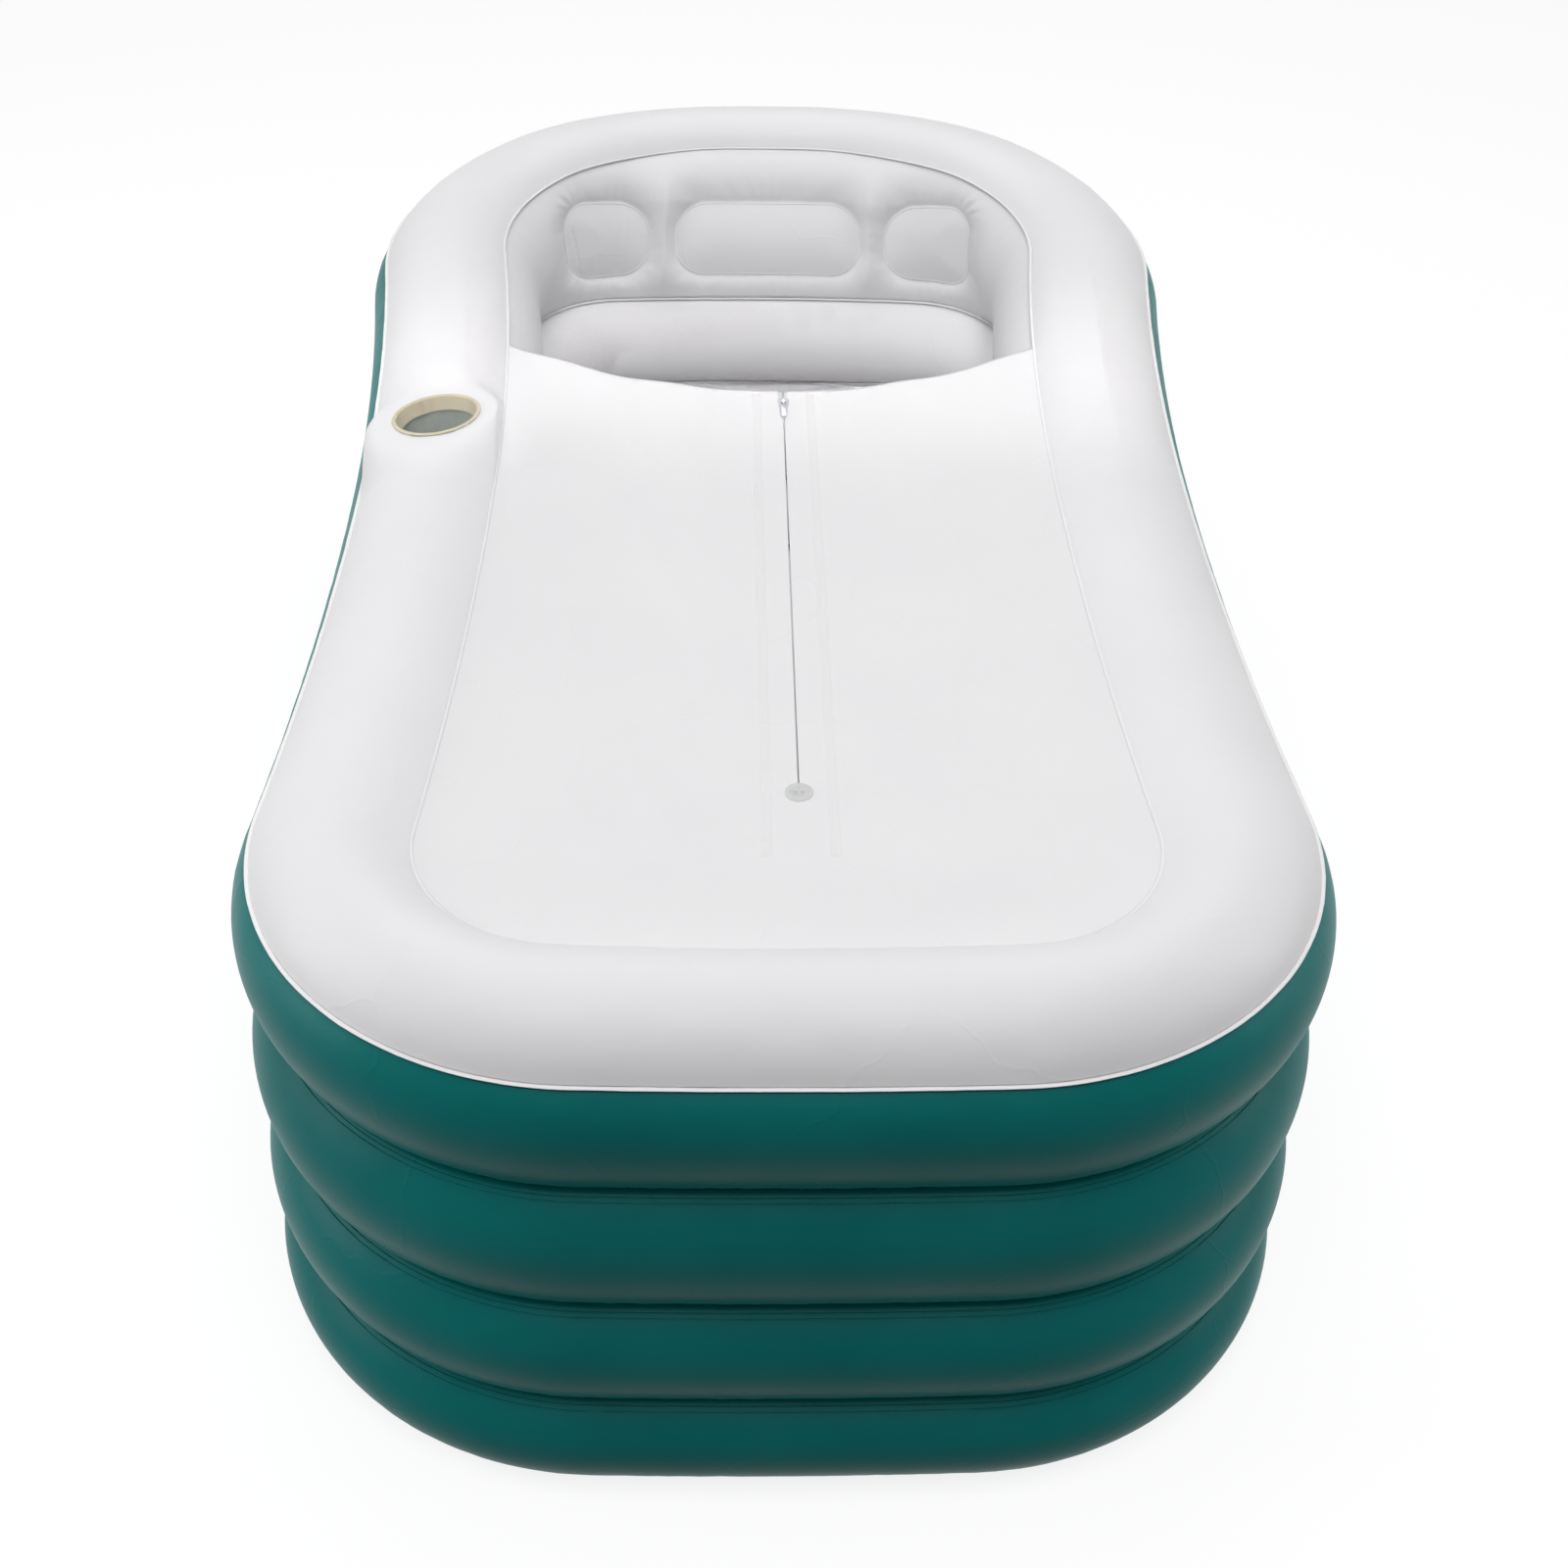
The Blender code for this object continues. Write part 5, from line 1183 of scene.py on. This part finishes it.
valve_plastic = moulded_material("valve plastic", (0.74, 0.77, 0.78), (0.68, 0.72, 0.74), 0.30,
                                 texture_depth=0.000003)
for number, ring_number in enumerate((1, 2, 4), 1):
    seat, neck = 0.0006, 0.0080
    flange = ((VALVE_NECK, 0), (0.0170, 0), (0.0175, 0.0004), (0.0174, 0.0009), (0.0168, 0.0012),
              (0.0160, 0.0011), (0.0157, 0.0014), (0.0150, 0.0014), (0.0147, 0.0011), (0.0128, 0.0012),
              (0.0121, 0.0018))
    profile = [(0.0095, -0.0120), (VALVE_NECK, -0.0120)]
    profile += [(radius, seat + height) for radius, height in flange]
    for thread in (0.0034, 0.0050, 0.0066):
        profile += [(0.0121, thread - 0.0005), (0.0125, thread - 0.0001), (0.0125, thread + 0.0001),
                    (0.0121, thread + 0.0005)]
    profile += [(0.0121, neck - 0.0003), (0.0118, neck), (0.0098, neck), (0.0095, neck - 0.0003)]
    collar = turned(profile, 72, valve_seats[ring_number])
    collar = add_piece(f"valve_{number}_collar", collar, valve_plastic)
    fit(collar, "valve_plastic", f"valve_collar_{number}")
    cap = cap_mesh(neck + 0.0003, 0.0145, 0.0030, 0.0089, -0.0100, 36)
    cap = add_piece(f"valve_{number}_cap", placed(cap, valve_seats[ring_number]), valve_plastic)
    fit(cap, "valve_plastic", f"valve_cap_{number}", body=f"valve_cap_{number}")


# Drain: a short tube of the same plastic through the lowest ring at the waist, welded to the film
# by a flange at each wall. A plain cap closes its outer end.
inner_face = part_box("drain_fitting")[0].x - drain_seat.translation.x
flange_profile = ((0.0115, 0.0002), (0.0117, 0), (0.0185, 0), (0.0190, 0.0005), (0.0190, 0.0010),
                  (0.0186, 0.0014), (DRAIN_TUBE, 0.0014))
profile = [(radius, inner_face + height) for radius, height in flange_profile]
profile += [(DRAIN_TUBE, 0.0060), (0.0134, 0.0064), (0.0118, 0.0064), (0.0115, 0.0061)]
tube = add_piece("drain_tube", turned(profile, 72, drain_seat), valve_plastic)
fit(tube, "valve_plastic", "drain_fitting")
profile = [(0.0141, 0.0010), (0.0185, 0.0010), (0.0190, 0.0014), (0.0188, 0.0020), (0.0182, 0.0024),
           (0.0172, 0.0022), (0.0168, 0.0024), (0.0162, 0.0024), (0.0158, 0.0022), (0.0141, 0.0024)]
flange = add_piece("drain_flange", turned(profile, 72, drain_seat), valve_plastic)
fit(flange, "valve_plastic", "drain_outer_flange")
cap = cap_mesh(0.0067, 0.0158, 0.0026, 0.0109, 0.0037, 0)
cap_place = drain_seat @ Matrix.Rotation(math.pi / 2, 4, "Z")
cap = add_piece("drain_cover", placed(cap, cap_place), valve_plastic)
fit(cap, "valve_plastic", "drain_cap", body="drain_cap")


# Studio: a pale floor, a white surround that only the camera and reflections see, and soft lamps.
def seen_rays(tree):
    """1 for the rays that see a surface straight, in a reflection or through something clear."""
    rays = put(tree, "ShaderNodeLightPath").outputs
    seen = calc(tree, "MAXIMUM", rays["Is Camera Ray"], rays["Is Glossy Ray"])
    return calc(tree, "MAXIMUM", seen, rays["Is Transmission Ray"])


def backdrop_material(name, lit, glow):
    """Diffuse ground for light, with a white glow for camera, glossy and transmission rays."""
    material = bpy.data.materials.new(name)
    material.use_nodes = True
    tree = material.node_tree
    tree.nodes.clear()
    ground = put(tree, "ShaderNodeBsdfDiffuse", {"Color": (*lit, 1)})
    faint = put(tree, "ShaderNodeBsdfDiffuse", {"Color": (0.22, 0.22, 0.22, 1)})
    bright = put(tree, "ShaderNodeEmission", {"Color": (1, 1, 1, 1), "Strength": glow})
    shown = put(tree, "ShaderNodeAddShader", {0: faint.outputs[0], 1: bright.outputs[0]})
    mix = put(tree, "ShaderNodeMixShader",
              {0: seen_rays(tree), 1: ground.outputs[0], 2: shown.outputs[0]})
    put(tree, "ShaderNodeOutputMaterial", {"Surface": mix.outputs[0]})
    return material


bm = bmesh.new()
under_tub = Matrix.Translation((0, 0, -0.0005))
bmesh.ops.create_grid(bm, x_segments=1, y_segments=1, size=14.0, matrix=under_tub)
ground = add_piece("ground", bm, backdrop_material("ground", (0.07, 0.045, 0.035), 0.84))

world = bpy.data.worlds.new("studio")
bpy.context.scene.world = world
world.use_nodes = True
tree = world.node_tree
tree.nodes.clear()
soft = put(tree, "ShaderNodeBackground", {"Color": (0.90, 0.94, 1.0, 1), "Strength": 0.08})
white = put(tree, "ShaderNodeBackground", {"Color": (1, 1, 1, 1), "Strength": 1.0})
mix = put(tree, "ShaderNodeMixShader", {0: seen_rays(tree), 1: soft.outputs[0], 2: white.outputs[0]})
put(tree, "ShaderNodeOutputWorld", {"Surface": mix.outputs[0]})


def add_lamp(name, place, target, size, power, spread=180):
    """A rectangular soft lamp aimed at a target; a small spread is a grid over it."""
    light = bpy.data.lights.new(name, "AREA")
    light.shape = "RECTANGLE"
    light.size, light.size_y = size
    light.energy = power
    light.spread = math.radians(spread)
    lamp = bpy.data.objects.new(name, light)
    bpy.context.scene.collection.objects.link(lamp)
    lamp.location = place
    lamp.rotation_euler = (Vector(target) - Vector(place)).to_track_quat("-Z", "Y").to_euler()


add_lamp("overhead", (0.0, 1.2, 3.0), (0.0, 0.25, 0.3), (3.4, 3.4), 43)
add_lamp("key", (0.0, -2.0, 4.4), (0.0, -0.2, 0.3), (2.4, 2.4), 72)
add_lamp("front", (0.0, -4.0, 3.0), (0.0, 0.0, 0.3), (3.2, 1.8), 17)
add_lamp("gridded", (-0.2, -1.4, 1.6), (-0.2, 0.52, 0.22), (1.2, 0.06), 0.18, 8)
add_lamp("left side", (-3.0, -0.6, 1.3), (0.0, 0.0, 0.3), (1.6, 2.4), 42)
add_lamp("right side", (3.2, -0.4, 1.4), (0.0, 0.0, 0.3), (1.6, 2.4), 30)

# Camera: the photograph's viewpoint, above the foot end and looking down the tub.
camera_data = bpy.data.cameras.new("camera")
camera_data.sensor_fit = "HORIZONTAL"
SENSOR, FOCAL_PIXELS, PHOTO_PIXELS = 36.0, 2422, 1600
camera_data.sensor_width = SENSOR
camera_data.lens = SENSOR * FOCAL_PIXELS / PHOTO_PIXELS
camera = bpy.data.objects.new("camera", camera_data)
bpy.context.scene.collection.objects.link(camera)
camera.matrix_world = (
    Matrix.Translation((-0.053, -1.903, 1.631))
    @ Matrix.Rotation(math.radians(-2.06), 4, "Z")
    @ Matrix.Rotation(math.radians(90 - 39.12), 4, "X")
    @ Matrix.Rotation(math.radians(1.39), 4, "Z")
)
bpy.context.scene.camera = camera
bpy.context.scene.view_settings.view_transform = "Standard"
